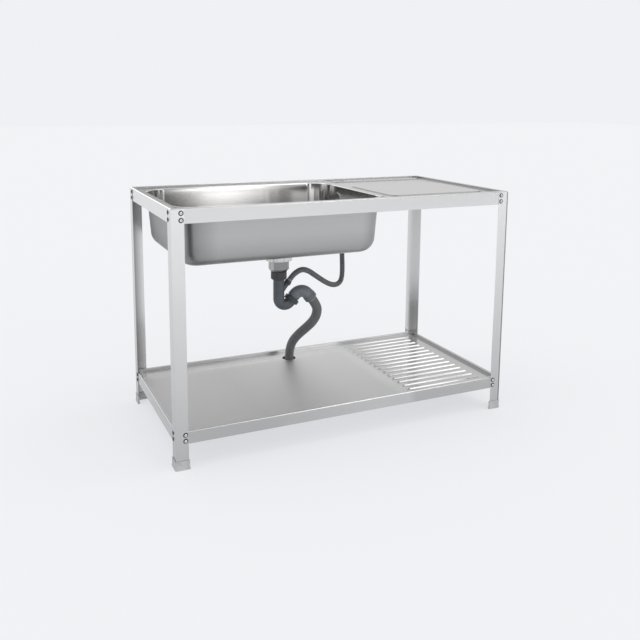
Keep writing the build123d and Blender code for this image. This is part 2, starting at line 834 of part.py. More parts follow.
def make_end_cuff():
    """Rubber cuff on the drain hose's lower end, for a floor drain."""
    frame = upright(*hose_hole, 0)
    low = hose_end_z - end_cuff_tail
    high = hose_end_z + end_cuff_grip
    grip = hose_radius + hose_clearance
    return turned([
        (hose_bore_radius, low), (end_cuff_radius, low), (end_cuff_radius, high), (grip, high),
        (grip, hose_end_z), (hose_bore_radius, hose_end_z)], frame)


# ---------------------------------------------------------------- overflow

def make_overflow_seal():
    return turned([(overflow_hole_radius, 0), (overflow_seal_radius, 0),
                   (overflow_seal_radius, overflow_seal_thickness),
                   (overflow_hole_radius, overflow_seal_thickness)], wall_frame)


def make_overflow_elbow():
    """Chamber behind the bowl's wall, with a spigot straight down for the overflow hose."""
    base = overflow_seal_thickness
    end = overflow_reach + overflow_chamber_beyond
    out = wall_frame.z_dir
    start = wall_frame.origin
    axis_point = Vector(overflow_axis_x, overflow_y, overflow_z)
    down = Vector(0, 0, -1)
    barb = overflow_hose_bore_radius - barb_clearance
    body = rod(overflow_flange_radius, start, out, base, base + overflow_flange_thickness)
    body += rod(overflow_chamber_radius, start, out, base, end)
    body += rod(overflow_collar_radius, axis_point, down, 0, overflow_collar_drop)
    body += rod(barb, axis_point, down, overflow_collar_drop,
                overflow_collar_drop + spigot_barb)
    body -= rod(overflow_chamber_radius - overflow_chamber_wall, start, out, base,
                end - overflow_chamber_wall)
    body -= rod(spigot_bore, axis_point, down, 0, overflow_collar_drop + spigot_barb)
    post = rod(overflow_post_radius, start, out, base, end - overflow_chamber_wall / 2)
    pilot = rod(screw_radius + nut_clearance, start, out, base, end - 2 * overflow_chamber_wall)
    return body + post - pilot


def make_overflow_cover():
    """Round cover inside the bowl, with radial slots and a screw at its middle."""
    face = -bowl_sheet
    front = face - overflow_cover_thickness
    cover = turned([
        (0, face), (overflow_cover_radius, face),
        (overflow_cover_radius, face - overflow_cover_edge_height),
        (overflow_cover_radius - overflow_cover_edge_width, front), (0, front)], wall_frame)
    for turn in range(overflow_slot_count):
        spot = wall_frame * Rot(0, 0, 360 / overflow_slot_count * turn)
        spot = spot * Pos(overflow_slot_circle / 2, 0, front)
        cover -= spot * Box(overflow_slot_length, overflow_slot_width,
                            4 * overflow_cover_thickness)
    return cover - wall_frame * Cylinder(screw_radius + screw_hole_clearance,
                                         6 * overflow_cover_thickness)


def make_overflow_screw():
    front = bowl_sheet + overflow_cover_thickness
    head = make_screw()
    tip = Pos(0, 0, -screw_length) * Cylinder(
        screw_radius, screw_length, align=(Align.CENTER, Align.CENTER, Align.MAX))
    return wall_frame * Rot(180, 0, 0) * Pos(0, 0, front) * (head + tip)


def make_union_nut():
    """Small nut that holds the overflow hose on the trap's spigot."""
    low = union_nut_start
    nut = rod(union_nut_radius, spigot_root, spigot_way, low, low + union_nut_length)
    nut = chamfer(nut.edges().filter_by(GeomType.CIRCLE), union_nut_chamfer)
    frame = Plane(origin=spigot_root, z_dir=spigot_way)
    nut = grooved(nut, frame, union_nut_radius + grip_outset, low, low + union_nut_length,
                  grip_count // 2, grip_radius)
    nut -= rod(spigot_radius + thread_clearance, spigot_root, spigot_way, low, spigot_length)
    return nut - rod(overflow_hose_radius + hose_clearance, spigot_root, spigot_way,
                     spigot_length, low + union_nut_length)


# ---------------------------------------------------------------- all nodes

nodes = {}
corners = {"front_left": (-1, -1), "front_right": (1, -1), "back_left": (-1, 1),
           "back_right": (1, 1)}
for place, (side_x, side_y) in corners.items():
    nodes["leg_" + place] = make_leg(side_x, side_y)
    nodes["foot_" + place] = make_foot(side_x, side_y)

screw = make_screw()
nut = make_nut()
nodes["top_screws"] = group(place * screw for place in top_places)
nodes["top_nuts"] = group(place * nut for place in top_places)
nodes["shelf_screws"] = group(place * screw for place in shelf_places)
nodes["shelf_nuts"] = group(place * nut for place in shelf_places)

nodes["sink_deck"] = make_deck()
nodes["sink_bowl"] = make_bowl()
nodes["shelf_tray"] = make_tray()

seal_bore = strainer_tube_radius + strainer_hole_clearance
nodes["strainer_body"] = make_strainer_body()
nodes["strainer_seal"] = make_ring(seal_bore, strainer_flange_radius, recess_floor,
                                   flange_bottom)
nodes["strainer_washer"] = make_ring(seal_bore, washer_radius, washer_bottom, washer_top)
nodes["strainer_locknut"] = make_locknut()
nodes["basket"] = make_basket()
nodes["stopper_stem"] = make_stopper_stem()
nodes["stopper_disc"] = make_stopper()

nodes["tailpiece_nut"] = make_tailpiece_nut()
nodes["tailpiece_washer"] = make_ring(pipe_bore, collar_radius, pipe_top, neck_bottom)
nodes["trap_pipe"] = make_trap()
nodes["trap_nut"] = make_trap_nut()
nodes["trap_washer"] = (rod(collar_radius, bend_end, rise, washer_start, elbow_start)
                        - rod(pipe_bore, bend_end, rise, washer_start, elbow_start))
nodes["outlet_elbow"] = make_elbow()
nodes["hose_nut"] = make_hose_nut()
nodes["drain_hose"] = make_drain_hose()
nodes["hose_end_cuff"] = make_end_cuff()

nodes["overflow_cover"] = make_overflow_cover()
nodes["overflow_screw"] = make_overflow_screw()
nodes["overflow_seal"] = make_overflow_seal()
nodes["overflow_elbow"] = make_overflow_elbow()
nodes["overflow_hose"] = make_overflow_hose()
nodes["overflow_hose_nut"] = make_union_nut()

for name, shape in nodes.items():
    export_step(shape, "parts/" + name + ".step")
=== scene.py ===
"""Looks of a free-standing kitchen sink unit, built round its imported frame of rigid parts.

Run in Blender as a script. It loads the frame, lays smooth pressed sheets, a drawn bowl and ribbed
hoses over their plain solids, gives every other part its finish, and sets the camera and light.
Lengths are in metres; +X is to the right, +Y to the back and +Z up from the floor.
"""
import math
from functools import partial

import bpy
import numpy as np
from bpy.props import FloatProperty, FloatVectorProperty, IntProperty, PointerProperty
from mathutils import Matrix, Vector, geometry


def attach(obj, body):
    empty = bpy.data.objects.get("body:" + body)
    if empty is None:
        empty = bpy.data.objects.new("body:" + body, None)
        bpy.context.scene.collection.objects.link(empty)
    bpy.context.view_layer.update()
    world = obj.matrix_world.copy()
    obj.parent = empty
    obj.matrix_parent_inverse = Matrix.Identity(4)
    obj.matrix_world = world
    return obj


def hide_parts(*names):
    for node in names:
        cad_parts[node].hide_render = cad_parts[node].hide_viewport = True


bl_info = {
    "name": "Kitchen sink unit",
    "version": (1, 0, 0),
    "blender": (4, 5, 0),
    "location": "3D View > Sidebar > Sink unit",
    "description": "Builds the looks of a stainless sink unit round its frame of rigid parts",
    "category": "Object",
}

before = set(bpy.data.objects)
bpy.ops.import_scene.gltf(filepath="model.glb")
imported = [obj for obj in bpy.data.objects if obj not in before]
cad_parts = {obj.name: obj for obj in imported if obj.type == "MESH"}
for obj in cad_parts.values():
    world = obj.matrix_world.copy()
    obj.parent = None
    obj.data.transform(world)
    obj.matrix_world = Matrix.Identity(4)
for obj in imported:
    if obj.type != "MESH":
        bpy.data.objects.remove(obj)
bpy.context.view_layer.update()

BODY = "unit"
SMOOTH_BELOW = math.radians(35)
WELD_DIGITS = 6
NET_TRIANGLES, NET_WELD = 1, 1e-7


# ---------------------------------------------------------------- sizes and colours

def length(name, value, text):
    """A length that a user may change, in metres."""
    return FloatProperty(name=name, description=text, default=value, min=0.0, unit="LENGTH",
                         precision=4)


def place(name, value, text):
    """A coordinate in the row frame, in metres."""
    return FloatProperty(name=name, description=text, default=value, unit="LENGTH", precision=4)


def colour(name, value, text):
    """A linear colour."""
    return FloatVectorProperty(name=name, description=text, default=value, subtype="COLOR",
                               size=3, min=0.0, max=1.0)


def share(name, value, text, most=1.0):
    """A plain number from nought to most."""
    return FloatProperty(name=name, description=text, default=value, min=0.0, max=most)


class SheetSizes(bpy.types.PropertyGroup):
    """Sizes of the two folded sheets"""
    length: length("Length", 1.197, "Length of both sheets, inside the legs")
    depth: length("Depth", 0.597, "Depth of both sheets, inside the legs")
    gauge: length("Gauge", 0.001, "Thickness of the sheets")
    hem: length("Hem", 0.010, "Width of the hem under each skirt")
    edge: length("Edge roll", 0.0038, "How far the rolled top edge takes from each side")
    corner: length("Corner", 0.003, "Radius of the sheets' corners in plan")
    worktop: place("Worktop height", 0.800, "Height of the worktop's rim")
    worktop_skirt: length("Worktop skirt", 0.046, "Height of the worktop's skirt")
    worktop_rim: length("Worktop rim", 0.012, "Width of the worktop's raised rim")
    worktop_drop: length("Worktop drop", 0.008, "Drop from the rim to the worktop's field")
    shelf: place("Shelf height", 0.120, "Height of the shelf's rim")
    shelf_skirt: length("Shelf skirt", 0.040, "Height of the shelf's skirt")
    shelf_rim: length("Shelf rim", 0.013, "Width of the shelf's raised rim")
    shelf_drop: length("Shelf drop", 0.010, "Drop from the rim to the shelf's floor")


class PressSizes(bpy.types.PropertyGroup):
    """Sizes of the forms pressed into the sheets"""
    rise: length("Rise", 0.003, "Height of the bead, platform and ledge above the field")
    bead: length("Bead", 0.018, "Width of the raised bead round the bowl")
    panel_x: place("Platform X", 0.360, "Middle of the platform")
    panel_y: place("Platform Y", -0.0715, "Middle of the platform")
    panel_length: length("Platform length", 0.376, "Length of the raised platform")
    panel_depth: length("Platform depth", 0.313, "Depth of the raised platform")
    panel_corner: length("Platform corner", 0.028, "Corner radius of the platform")
    ledge_x: place("Ledge X", 0.370, "Middle of the ledge at the back")
    ledge_y: place("Ledge Y", 0.249, "Middle of the ledge at the back")
    ledge_length: length("Ledge length", 0.384, "Length of the ledge")
    ledge_depth: length("Ledge depth", 0.054, "Depth of the ledge")
    ledge_corner: length("Ledge corner", 0.012, "Corner radius of the ledge")
    tap_x: place("Tap hole X", 0.216, "Middle of the tap hole")
    tap_radius: length("Tap hole radius", 0.0175, "Radius of the tap hole")
    ribs: IntProperty(name="Ribs", description="Number of ribs on the shelf", default=15, min=1)
    rib_x: place("Rib X", 0.388, "Middle of the shelf's ribs")
    rib_pitch: length("Rib pitch", 0.036, "Distance from rib to rib")
    rib_length: length("Rib length", 0.304, "Length of each rib over its round ends")
    rib_width: length("Rib width", 0.018, "Width of each rib")
    rib_rise: length("Rib rise", 0.004, "Height of each rib")
    hose_x: place("Hose hole X", -0.020, "Middle of the hole for the drain hose")
    hose_y: place("Hose hole Y", 0.215, "Middle of the hole for the drain hose")
    hose_radius: length("Hose hole radius", 0.025, "Radius of the hole for the drain hose")


class BowlSizes(bpy.types.PropertyGroup):
    """Sizes of the drawn bowl"""
    x: place("X", -0.216, "Middle of the bowl")
    y: place("Y", -0.007, "Middle of the bowl")
    top: place("Top", 0.795, "Height of the bowl's lip")
    floor: place("Floor", 0.606, "Height of the bowl's floor")
    length: length("Length", 0.700, "Length of the bowl's mouth")
    width: length("Width", 0.494, "Width of the bowl's mouth")
    corner: length("Corner", 0.075, "Corner radius of the mouth")
    lip: length("Lip", 0.0066, "Width of the lip outside the mouth")
    lean: FloatProperty(name="Lean", description="How far the walls lean from upright",
                        default=math.radians(4.5), subtype="ANGLE")
    bottom: length("Bottom radius", 0.050, "Radius of the bowl's bottom edge")
    drain_x: place("Drain X", -0.180, "Middle of the drain")
    drain_y: place("Drain Y", -0.080, "Middle of the drain")
    recess: length("Recess", 0.060, "Radius of the flat recess round the drain")
    recess_drop: length("Recess drop", 0.008, "Depth of the recess")
    hole: length("Hole", 0.041, "Radius of the hole for the strainer")


class HoseSizes(bpy.types.PropertyGroup):
    """Sizes of the two ribbed hoses"""
    drain_crest: length("Drain crest", 0.0170, "Outer radius of the drain hose")
    drain_root: length("Drain root", 0.0150, "Radius between the drain hose's ribs")
    drain_bore: length("Drain bore", 0.0136, "Bore radius of the drain hose")
    drain_pitch: length("Drain pitch", 0.0068, "Distance from rib to rib")
    overflow_crest: length("Overflow crest", 0.00975, "Outer radius of the overflow hose")
    overflow_root: length("Overflow root", 0.0087, "Radius between the overflow hose's ribs")
    overflow_bore: length("Overflow bore", 0.00775, "Bore radius of the overflow hose")
    overflow_pitch: length("Overflow pitch", 0.0058, "Distance from rib to rib")


class SteelLooks(bpy.types.PropertyGroup):
    """Colours and gloss of the steel parts"""
    # the worktop, bowl, shelf and legs are one stainless steel: the differences between their tints
    # are painted light and shade
    worktop: colour("Worktop", (0.77, 0.77, 0.767), "Satin worktop sheet")
    bowl_inside: colour("Bowl inside", (0.70, 0.695, 0.69), "Polished satin inside of the bowl")
    bowl_outside: colour("Bowl outside", (0.50, 0.50, 0.50), "Dull outside of the bowl")
    shelf: colour("Shelf", (0.70, 0.70, 0.70), "Brushed shelf tray")
    leg: colour("Legs", (0.87, 0.87, 0.87), "Satin legs")
    screw: colour("Screws", (0.90, 0.90, 0.91), "Plated screws and nuts")
    strainer: colour("Strainer", (0.44, 0.436, 0.43), "Pressed strainer and basket")


class PlasticLooks(bpy.types.PropertyGroup):
    """Colours of the plastic and rubber parts"""
    foot: colour("Feet", (0.48, 0.485, 0.49), "Grey moulded shoes")
    trap: colour("Trap", (0.078, 0.090, 0.102), "Slate moulded trap")
    elbow: colour("Elbow", (0.145, 0.160, 0.182), "Slate moulded outlet elbow")
    nut: colour("Nuts", (0.046, 0.051, 0.057), "Near-black moulded nuts")
    hose: colour("Hoses", (0.222, 0.231, 0.238), "Dark grey ribbed hose")
    rubber: colour("Rubber", (0.016, 0.016, 0.017), "Black rubber seals")


class StageLooks(bpy.types.PropertyGroup):
    """Floor, light and background"""
    floor: colour("Floor", (0.843, 0.853, 0.869), "Pale floor")
    backdrop: colour("Backdrop", (0.863, 0.879, 0.905), "Pale background")
    level: share("Level", 0.78, "Brightness of the studio's walls", 4.0)
    zenith: share("Zenith", 1.0, "Brightness of the studio's ceiling", 4.0)
    front: share("Front", 0.07, "Brightness of the low band in front of the unit", 4.0)
    glow: share("Floor glow", 0.70, "Share of the floor's brightness that is its own")


# ---------------------------------------------------------------- surfaces

def eased(points, trims, steps=7, beside=0.0002):
    """Profile with its corners rounded, and one more point beside each end of each curve, which
    keeps the straights between them flat. Each inner point P gives way to the arc
    ((1-s)^2 A + 2 s (1-s) w P + s^2 B) / ((1-s)^2 + 2 s (1-s) w + s^2), where A and B lie a trim
    before and after P, and w is the cosine of half the turn. Distances are read from the first two
    columns, the others follow."""
    points = np.asarray(points, float)
    corner = points[1:-1]

    def way(ends):
        run = ends - corner
        return run / np.linalg.norm(run[:, :2], axis=1, keepdims=True)

    back, on = way(points[:-2]), way(points[2:])
    trim = np.asarray(trims, float)[:, None]
    start, end = corner + back * trim, corner + on * trim
    turn = -(back[:, :2] * on[:, :2]).sum(1)
    weight = np.sqrt((1 + turn) / 2)[:, None, None]
    s = np.linspace(0, 1, steps)[None, :, None]
    middle = 2 * s * (1 - s) * weight
    curve = ((1 - s) ** 2 * start[:, None] + middle * corner[:, None] + s ** 2 * end[:, None])
    curve /= (1 - s) ** 2 + middle + s ** 2
    curve = np.concatenate([(start + back * beside)[:, None], curve,
                            (end + on * beside)[:, None]], 1)
    return np.concatenate([points[:1], curve.reshape(-1, points.shape[1]), points[-1:]])


def quads(rows, columns, closed=False):
    """Faces of a grid of rows by columns whose columns run round; closed joins the last row to the
    first too."""
    row = np.arange(rows if closed else rows - 1)[:, None]
    column = np.arange(columns)[None]
    on, up = (column + 1) % columns, (row + 1) % rows
    corners = [row * columns + column, row * columns + on, up * columns + on,
               up * columns + column]
    return np.stack(corners, -1).reshape(-1, 4)


def rounded_rings(centre, half, profile, arc=14, ease=0.0015):
    """Rounded rectangles stacked along a profile of (inset, height, corner radius), anticlockwise.
    A point is the corner's middle plus radius times (cos, sin), and each arc has one more point on
    the straight beside each of its ends."""
    inset, height, radius = np.asarray(profile, float).T[:, :, None]
    step = np.concatenate([[0], np.linspace(0, math.pi / 2, arc), [math.pi / 2]])
    beside = np.concatenate([[-ease], np.zeros(arc), [ease]])
    turn = np.concatenate([step + quarter * math.pi / 2 for quarter in range(4)])
    beside = np.tile(beside, 4)
    side_x, side_y = (np.repeat(signs, arc + 2) for signs in ([1, -1, -1, 1], [1, 1, -1, -1]))
    x = centre[0] + side_x * (half[0] - inset - radius) + radius * np.cos(turn)
    y = centre[1] + side_y * (half[1] - inset - radius) + radius * np.sin(turn)
    x, y = x - beside * np.sin(turn), y + beside * np.cos(turn)
    return np.stack([x, y, np.broadcast_to(height, x.shape)], -1)


def round_rings(centre, profile, around=72):
    """Circles stacked along a profile of (radius, height), anticlockwise."""
    radius, height = np.asarray(profile, float).T[:, :, None]
    turn = np.linspace(0, 2 * math.pi, around, endpoint=False)
    x, y = centre[0] + radius * np.cos(turn), centre[1] + radius * np.sin(turn)
    return np.stack([x, y, np.broadcast_to(height, x.shape)], -1)


def lofted(rings, closed=False):
    """Points and faces of stacked rings."""
    return rings.reshape(-1, 3), quads(len(rings), rings.shape[1], closed)


def inside(points, outline):
    """True for each point in an outline: a ray to the right crosses its edges an odd number of
    times."""
    x, y = points[:, 0, None], points[:, 1, None]
    x0, y0 = outline[:, 0], outline[:, 1]
    x1, y1 = np.roll(x0, -1), np.roll(y0, -1)
    spans = (y0 > y) != (y1 > y)
    rise = np.where(y1 == y0, 1.0, y1 - y0)
    return ((x < x0 + (x1 - x0) * (y - y0) / rise) & spans).sum(1) % 2 == 1


def filled(outer, holes=()):
    """Flat face inside an outline and outside its holes, as the triangles of a Delaunay net that
    keeps their edges."""
    loops = [np.asarray(loop)[:, :2] for loop in (outer, *holes)]
    starts = np.cumsum([0] + [len(loop) for loop in loops])
    edges = np.concatenate([
        np.stack([np.arange(len(loop)), np.roll(np.arange(len(loop)), -1)], 1) + start
        for loop, start in zip(loops, starts)])
    net = geometry.delaunay_2d_cdt([Vector(p) for p in np.concatenate(loops)],
                                   edges.tolist(), [], NET_TRIANGLES, NET_WELD)
    flat = np.array([tuple(p) for p in net[0]])
    faces = np.array(net[2])
    middle = flat[faces].mean(1)
    keep = inside(middle, loops[0])
    for hole in loops[1:]:
        keep &= ~inside(middle, hole)
    points = np.column_stack([flat, np.full(len(flat), outer[0, 2])])
    faces = faces[keep]
    return points, np.column_stack([faces, faces[:, 2]])


def joined(parts):
    """One surface from several, with points that lie together made one."""
    starts = np.cumsum([0] + [len(points) for points, _ in parts])
    points = np.concatenate([points for points, _ in parts])
    faces = np.concatenate([faces + start for (_, faces), start in zip(parts, starts)])
    _, first, same = np.unique(np.round(points, WELD_DIGITS), axis=0, return_index=True,
                               return_inverse=True)
    faces = same.reshape(-1)[faces]
    distinct = (np.sort(faces, axis=1)[:, 1:] != np.sort(faces, axis=1)[:, :-1]).sum(1) + 1
    return points[first], faces[distinct >= 3]


def thickened(points, faces, gauge):
    """Closed sheet from an open surface: the surface, its copy moved back by the gauge along the
    mean of the faces' normals, and faces round the open edges. Gives the points, the faces and a
    mark of 0 for the front, 1 for the back and 2 for the edges."""
    a, b, c, d = (points[faces[:, i]] for i in range(4))
    across = np.cross(c - a, d - b)
    normals = np.zeros_like(points)
    for i in range(4):
        np.add.at(normals, faces[:, i], across)
    normals /= np.linalg.norm(normals, axis=1, keepdims=True)
    count = len(points)
    start, end = faces.ravel(), np.roll(faces, -1, axis=1).ravel()
    real = start != end
    start, end = start[real], end[real]
    lone = ~np.isin(start * count + end, end * count + start)
    start, end = start[lone], end[lone]
    rim = np.stack([end, start, start + count, end + count], 1)
    marks = np.repeat([0, 1, 2], [len(faces), len(faces), len(rim)])
    return (np.concatenate([points, points - normals * gauge]),
            np.concatenate([faces, faces[:, ::-1] + count, rim]), marks)


def make_mesh(name, points, faces, marks=None):
    """Mesh from arrays; a face that names a point twice becomes a triangle."""
    keep = faces != np.roll(faces, -1, axis=1)
    totals = keep.sum(1)
    mesh = bpy.data.meshes.new(name)
    mesh.vertices.add(len(points))
    mesh.vertices.foreach_set("co", points.astype(np.float32).ravel())
    mesh.loops.add(int(totals.sum()))
    mesh.loops.foreach_set("vertex_index", faces[keep].astype(np.int32))
    mesh.polygons.add(len(faces))
    mesh.polygons.foreach_set("loop_start", (np.cumsum(totals) - totals).astype(np.int32))
    if marks is not None:
        mesh.polygons.foreach_set("material_index", marks.astype(np.int32))
    mesh.update(calc_edges=True)
    mesh.validate()
    mesh.shade_smooth()
    mesh.set_sharp_from_angle(angle=SMOOTH_BELOW)
    return mesh


def make_piece(mesh, materials, nodes):
    """Puts a mesh in the scene as a piece that stands for some nodes of the frame."""
    for material in materials:
        mesh.materials.append(material)
    piece = bpy.data.objects.new(mesh.name, mesh)
    bpy.context.scene.collection.objects.link(piece)
    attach(piece, BODY)
    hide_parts(*nodes)
    return piece


def finish_nodes(material, *names):
    """Gives nodes of the frame a finish."""
    for name in names:
        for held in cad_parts[name].material_slots:
            held.material = material


# ---------------------------------------------------------------- shader nodes

SHADER = "Principled BSDF"
GROUPS = {}
# noise between which each mask rises from 0 to 1, and how far up a face looks where dust starts
GRAIN_LEVELS, CLOUD_LEVELS, FLOW_LEVELS = (0.38, 0.62), (0.32, 0.68), (0.35, 0.65)
DUSTY_FROM = 0.25
# the corner screws: distance of their axes from the unit's middle, and the middle height and half
# the spacing of each pair
SCREW_X, SCREW_Y = 0.569, 0.269
SCREW_PAIRS = ((0.7755, 0.0105), (0.1005, 0.0095))
# how far inside an outline its shade still counts
STEP_INSIDE = 0.004


def feed(tree, node, inputs):
    """Gives a node its inputs; each is a value or another node's output."""
    for name, value in inputs.items():
        if isinstance(value, bpy.types.NodeSocket):
            tree.links.new(value, node.inputs[name])
        else:
            node.inputs[name].default_value = value


def add(tree, kind, inputs=None, **settings):
    """New node with its settings and inputs."""
    node = tree.nodes.new(kind)
    for name, value in settings.items():
        setattr(node, name, value)
    feed(tree, node, inputs or {})
    return node


def maths(tree, operation, first, second=0.0):
    """Result of an operation on one or two numbers."""
    return add(tree, "ShaderNodeMath", {0: first, 1: second}, operation=operation).outputs[0]


def product(tree, first, *others):
    """Numbers multiplied."""
    for other in others:
        first = maths(tree, "MULTIPLY", first, other)
    return first


def vectors(tree, operation, first, second=(0.0, 0.0, 0.0)):
    """Result of an operation on one or two vectors."""
    node = add(tree, "ShaderNodeVectorMath", {0: first, 1: second}, operation=operation)
    return node.outputs["Value" if operation == "DOT_PRODUCT" else "Vector"]


def split(tree, vector):
    """X, Y and Z of a vector."""
    return add(tree, "ShaderNodeSeparateXYZ", {0: vector}).outputs


def on_piece(tree, kind):
    """X, Y and Z of a point of the piece, for Object, or of the way it faces, for Normal."""
    return split(tree, add(tree, "ShaderNodeTexCoord").outputs[kind])


def mapped(tree, value, low, high, from_low=0.0, from_high=1.0, curve="LINEAR"):
    """A number carried from one range to another, and held within it."""
    return add(tree, "ShaderNodeMapRange", {
        "Value": value, "From Min": from_low, "From Max": from_high, "To Min": low,
        "To Max": high}, interpolation_type=curve).outputs["Result"]


def fade(tree, value, none, whole):
    """Mask that is 0 where a number is none and 1 where it is whole."""
    return mapped(tree, value, 0.0, 1.0, none, whole)


def blended(tree, mask, first, second, blend_type="MIX"):
    """A colour between two, by a mask; each is a tint or another node's colour."""
    first, second = (value if isinstance(value, bpy.types.NodeSocket) else (*value, 1.0)
                     for value in (first, second))
    return add(tree, "ShaderNodeMix", {0: mask, 6: first, 7: second}, data_type="RGBA",
               blend_type=blend_type).outputs[2]


def noise(tree, vector, **inputs):
    """Value of a noise texture."""
    return add(tree, "ShaderNodeTexNoise", {"Vector": vector, **inputs}).outputs["Fac"]


def new_group(name, outputs, numbers, places=None):
    """Shader node group that takes a Vector, more vectors and numbers, each with its default, and
    gives numbers. Gives the group, what it takes and the node that puts its numbers out."""
    group = bpy.data.node_groups.new(name, "ShaderNodeTree")
    group.interface.new_socket("Vector", in_out="INPUT", socket_type="NodeSocketVector")
    for kind, defaults in (("NodeSocketVector", places or {}), ("NodeSocketFloat", numbers)):
        for label, default in defaults.items():
            group.interface.new_socket(
                label, in_out="INPUT", socket_type=kind).default_value = default
    for label in outputs:
        group.interface.new_socket(label, in_out="OUTPUT", socket_type="NodeSocketFloat")
    return group, group.nodes.new("NodeGroupInput").outputs, group.nodes.new("NodeGroupOutput")


def rolling_grain():
    """Fine lines that a rolling mill or a brush leaves along one direction: noise that is stretched
    along the lines, with a second, broader layer of streaks."""
    group, given, put = new_group("Rolling grain", ["Height", "Mask"], {"Streak": 0.11},
                                  {"Across": (4.0, 900.0, 900.0)})
    fine = vectors(group, "MULTIPLY", given["Vector"], given["Across"])
    broad = add(group, "ShaderNodeVectorMath", {0: fine, "Scale": given["Streak"]},
                operation="SCALE").outputs["Vector"]
    layers = (noise(group, fine, Scale=1.0, Detail=3.0, Roughness=0.6),
              noise(group, broad, Scale=1.0, Detail=2.0, Roughness=0.5))
    half = maths(group, "MULTIPLY", maths(group, "ADD", *layers), 0.5)
    feed(group, put, {"Height": half, "Mask": fade(group, half, *GRAIN_LEVELS)})
    return group


def satin_clouds():
    """Slow uneven patches of gloss, as handling and wiping leave on sheet metal."""
    group, given, put = new_group("Satin clouds", ["Mask"], {"Scale": 7.0})
    patches = noise(group, given["Vector"], Scale=given["Scale"], Detail=4.0, Roughness=0.55,
                    Distortion=0.6)
    feed(group, put, {"Mask": fade(group, patches, *CLOUD_LEVELS)})
    return group


def moulded_skin():
    """Skin of moulded plastic: a fine even grain, faint flow marks and a little dust on what faces
    up."""
    group, given, put = new_group("Moulded skin", ["Height", "Mask", "Dust"], {"Grain": 900.0})
    grain = noise(group, given["Vector"], Scale=given["Grain"], Detail=2.0)
    flow = noise(group, given["Vector"], Scale=28.0, Detail=3.0, Distortion=0.8)
    up = split(group, add(group, "ShaderNodeNewGeometry").outputs["Normal"])["Z"]
    feed(group, put, {"Height": grain, "Mask": fade(group, flow, *FLOW_LEVELS),
                      "Dust": product(group, fade(group, up, DUSTY_FROM, 1.0), flow)})
    return group


def screw_seats():
    """Distance to the axis of the nearest corner screw. The screws stand in pairs, one above the
    other, at the same place from every corner on both faces: so the distance is the root of the
    squares of | |x| - X | or | |y| - Y | and | |z - middle| - half the pair's spacing |, and the
    least of those counts."""
    group, given, put = new_group("Screw seats", ["Distance"],
                                  {"Across": SCREW_X, "Along": SCREW_Y})
    work = partial(maths, group)

    def gap(number, place):
        return work("ABSOLUTE", work("SUBTRACT", number, place))

    at = split(group, given["Vector"])
    flat = work("MINIMUM", gap(work("ABSOLUTE", at["X"]), given["Across"]),
                gap(work("ABSOLUTE", at["Y"]), given["Along"]))
    tall = work("MINIMUM", *(gap(gap(at["Z"], middle), half) for middle, half in SCREW_PAIRS))
    square = work("ADD", work("MULTIPLY", flat, flat), work("MULTIPLY", tall, tall))
    feed(group, put, {"Distance": work("SQRT", square)})
    return group


def step_shade():
    """Mask beside the outline of a rounded rectangle, 1 at the outline, 0 at Width outside it and
    0 again well inside it. With q = |p - middle| - (half - radius), the distance is the length of
    q's positive part plus the lesser part of max(qx, qy) and 0, less the radius."""
    group, given, put = new_group(
        "Step shade", ["Mask"], {"Radius": 0.02, "Width": 0.01},
        {"Middle": (0.0, 0.0, 0.0), "Half": (0.1, 0.1, 0.0)})
    work = partial(maths, group)
    off = vectors(group, "ABSOLUTE", vectors(group, "SUBTRACT", given["Vector"], given["Middle"]))
    radius = add(group, "ShaderNodeCombineXYZ", {
        "X": given["Radius"], "Y": given["Radius"]}).outputs[0]
    straight = vectors(group, "SUBTRACT", given["Half"], radius)
    q = split(group, vectors(group, "SUBTRACT", off, straight))
    outer = [work("MAXIMUM", q[axis]) for axis in "XY"]
    long = work("SQRT", work("ADD", *(work("MULTIPLY", a, a) for a in outer)))
    inner = work("MINIMUM", work("MAXIMUM", q["X"], q["Y"]))
    away = work("SUBTRACT", work("ADD", long, inner), given["Radius"])
    near = mapped(group, away, 1.0, 0.0, 0.0, given["Width"])
    feed(group, put, {"Mask": product(group, near, work("GREATER_THAN", away, -STEP_INSIDE))})
    return group


def placed(tree, group, **inputs):
    """Outputs of one of the groups in a tree, fed by object coordinates."""
    where = add(tree, "ShaderNodeTexCoord").outputs["Object"]
    return add(tree, "ShaderNodeGroup", {"Vector": where, **inputs},
               node_tree=GROUPS[group]).outputs


# ---------------------------------------------------------------- finishes

# each steel's roughness, scale of its lines along X, Y and Z and their depth, how uneven its tint
# is, and scale of its clouds
STEELS = {
    "Worktop steel": (0.25, (3.0, 700.0, 700.0), 0.000004, 0.012, 7.0),
    "Bowl steel inside": (0.10, (5.0, 260.0, 500.0), 0.00001, 0.02, 4.0),
    "Bowl steel outside": (0.36, (3.0, 500.0, 500.0), 0.00001, 0.02, 5.0),
    "Shelf steel": (0.24, (4.0, 420.0, 700.0), 0.000004, 0.012, 7.0),
    "Screw steel": (0.16, (300.0, 300.0, 300.0), 0.00001, 0.08, 60.0),
    "Nut steel": (0.16, (300.0, 300.0, 300.0), 0.00001, 0.08, 60.0),
    "Strainer steel": (0.22, (300.0, 300.0, 40.0), 0.000004, 0.02, 6.0),
    "Locknut steel": (0.24, (300.0, 300.0, 40.0), 0.000004, 0.04, 12.0),
    "Overflow cover steel": (0.14, (260.0, 260.0, 500.0), 0.00001, 0.02, 4.0),
}
STEEL_LEVELS, STEEL_GLOSS, STEEL_RELIEF = (0.3, 1.7), (0.94, 1.08), 0.15

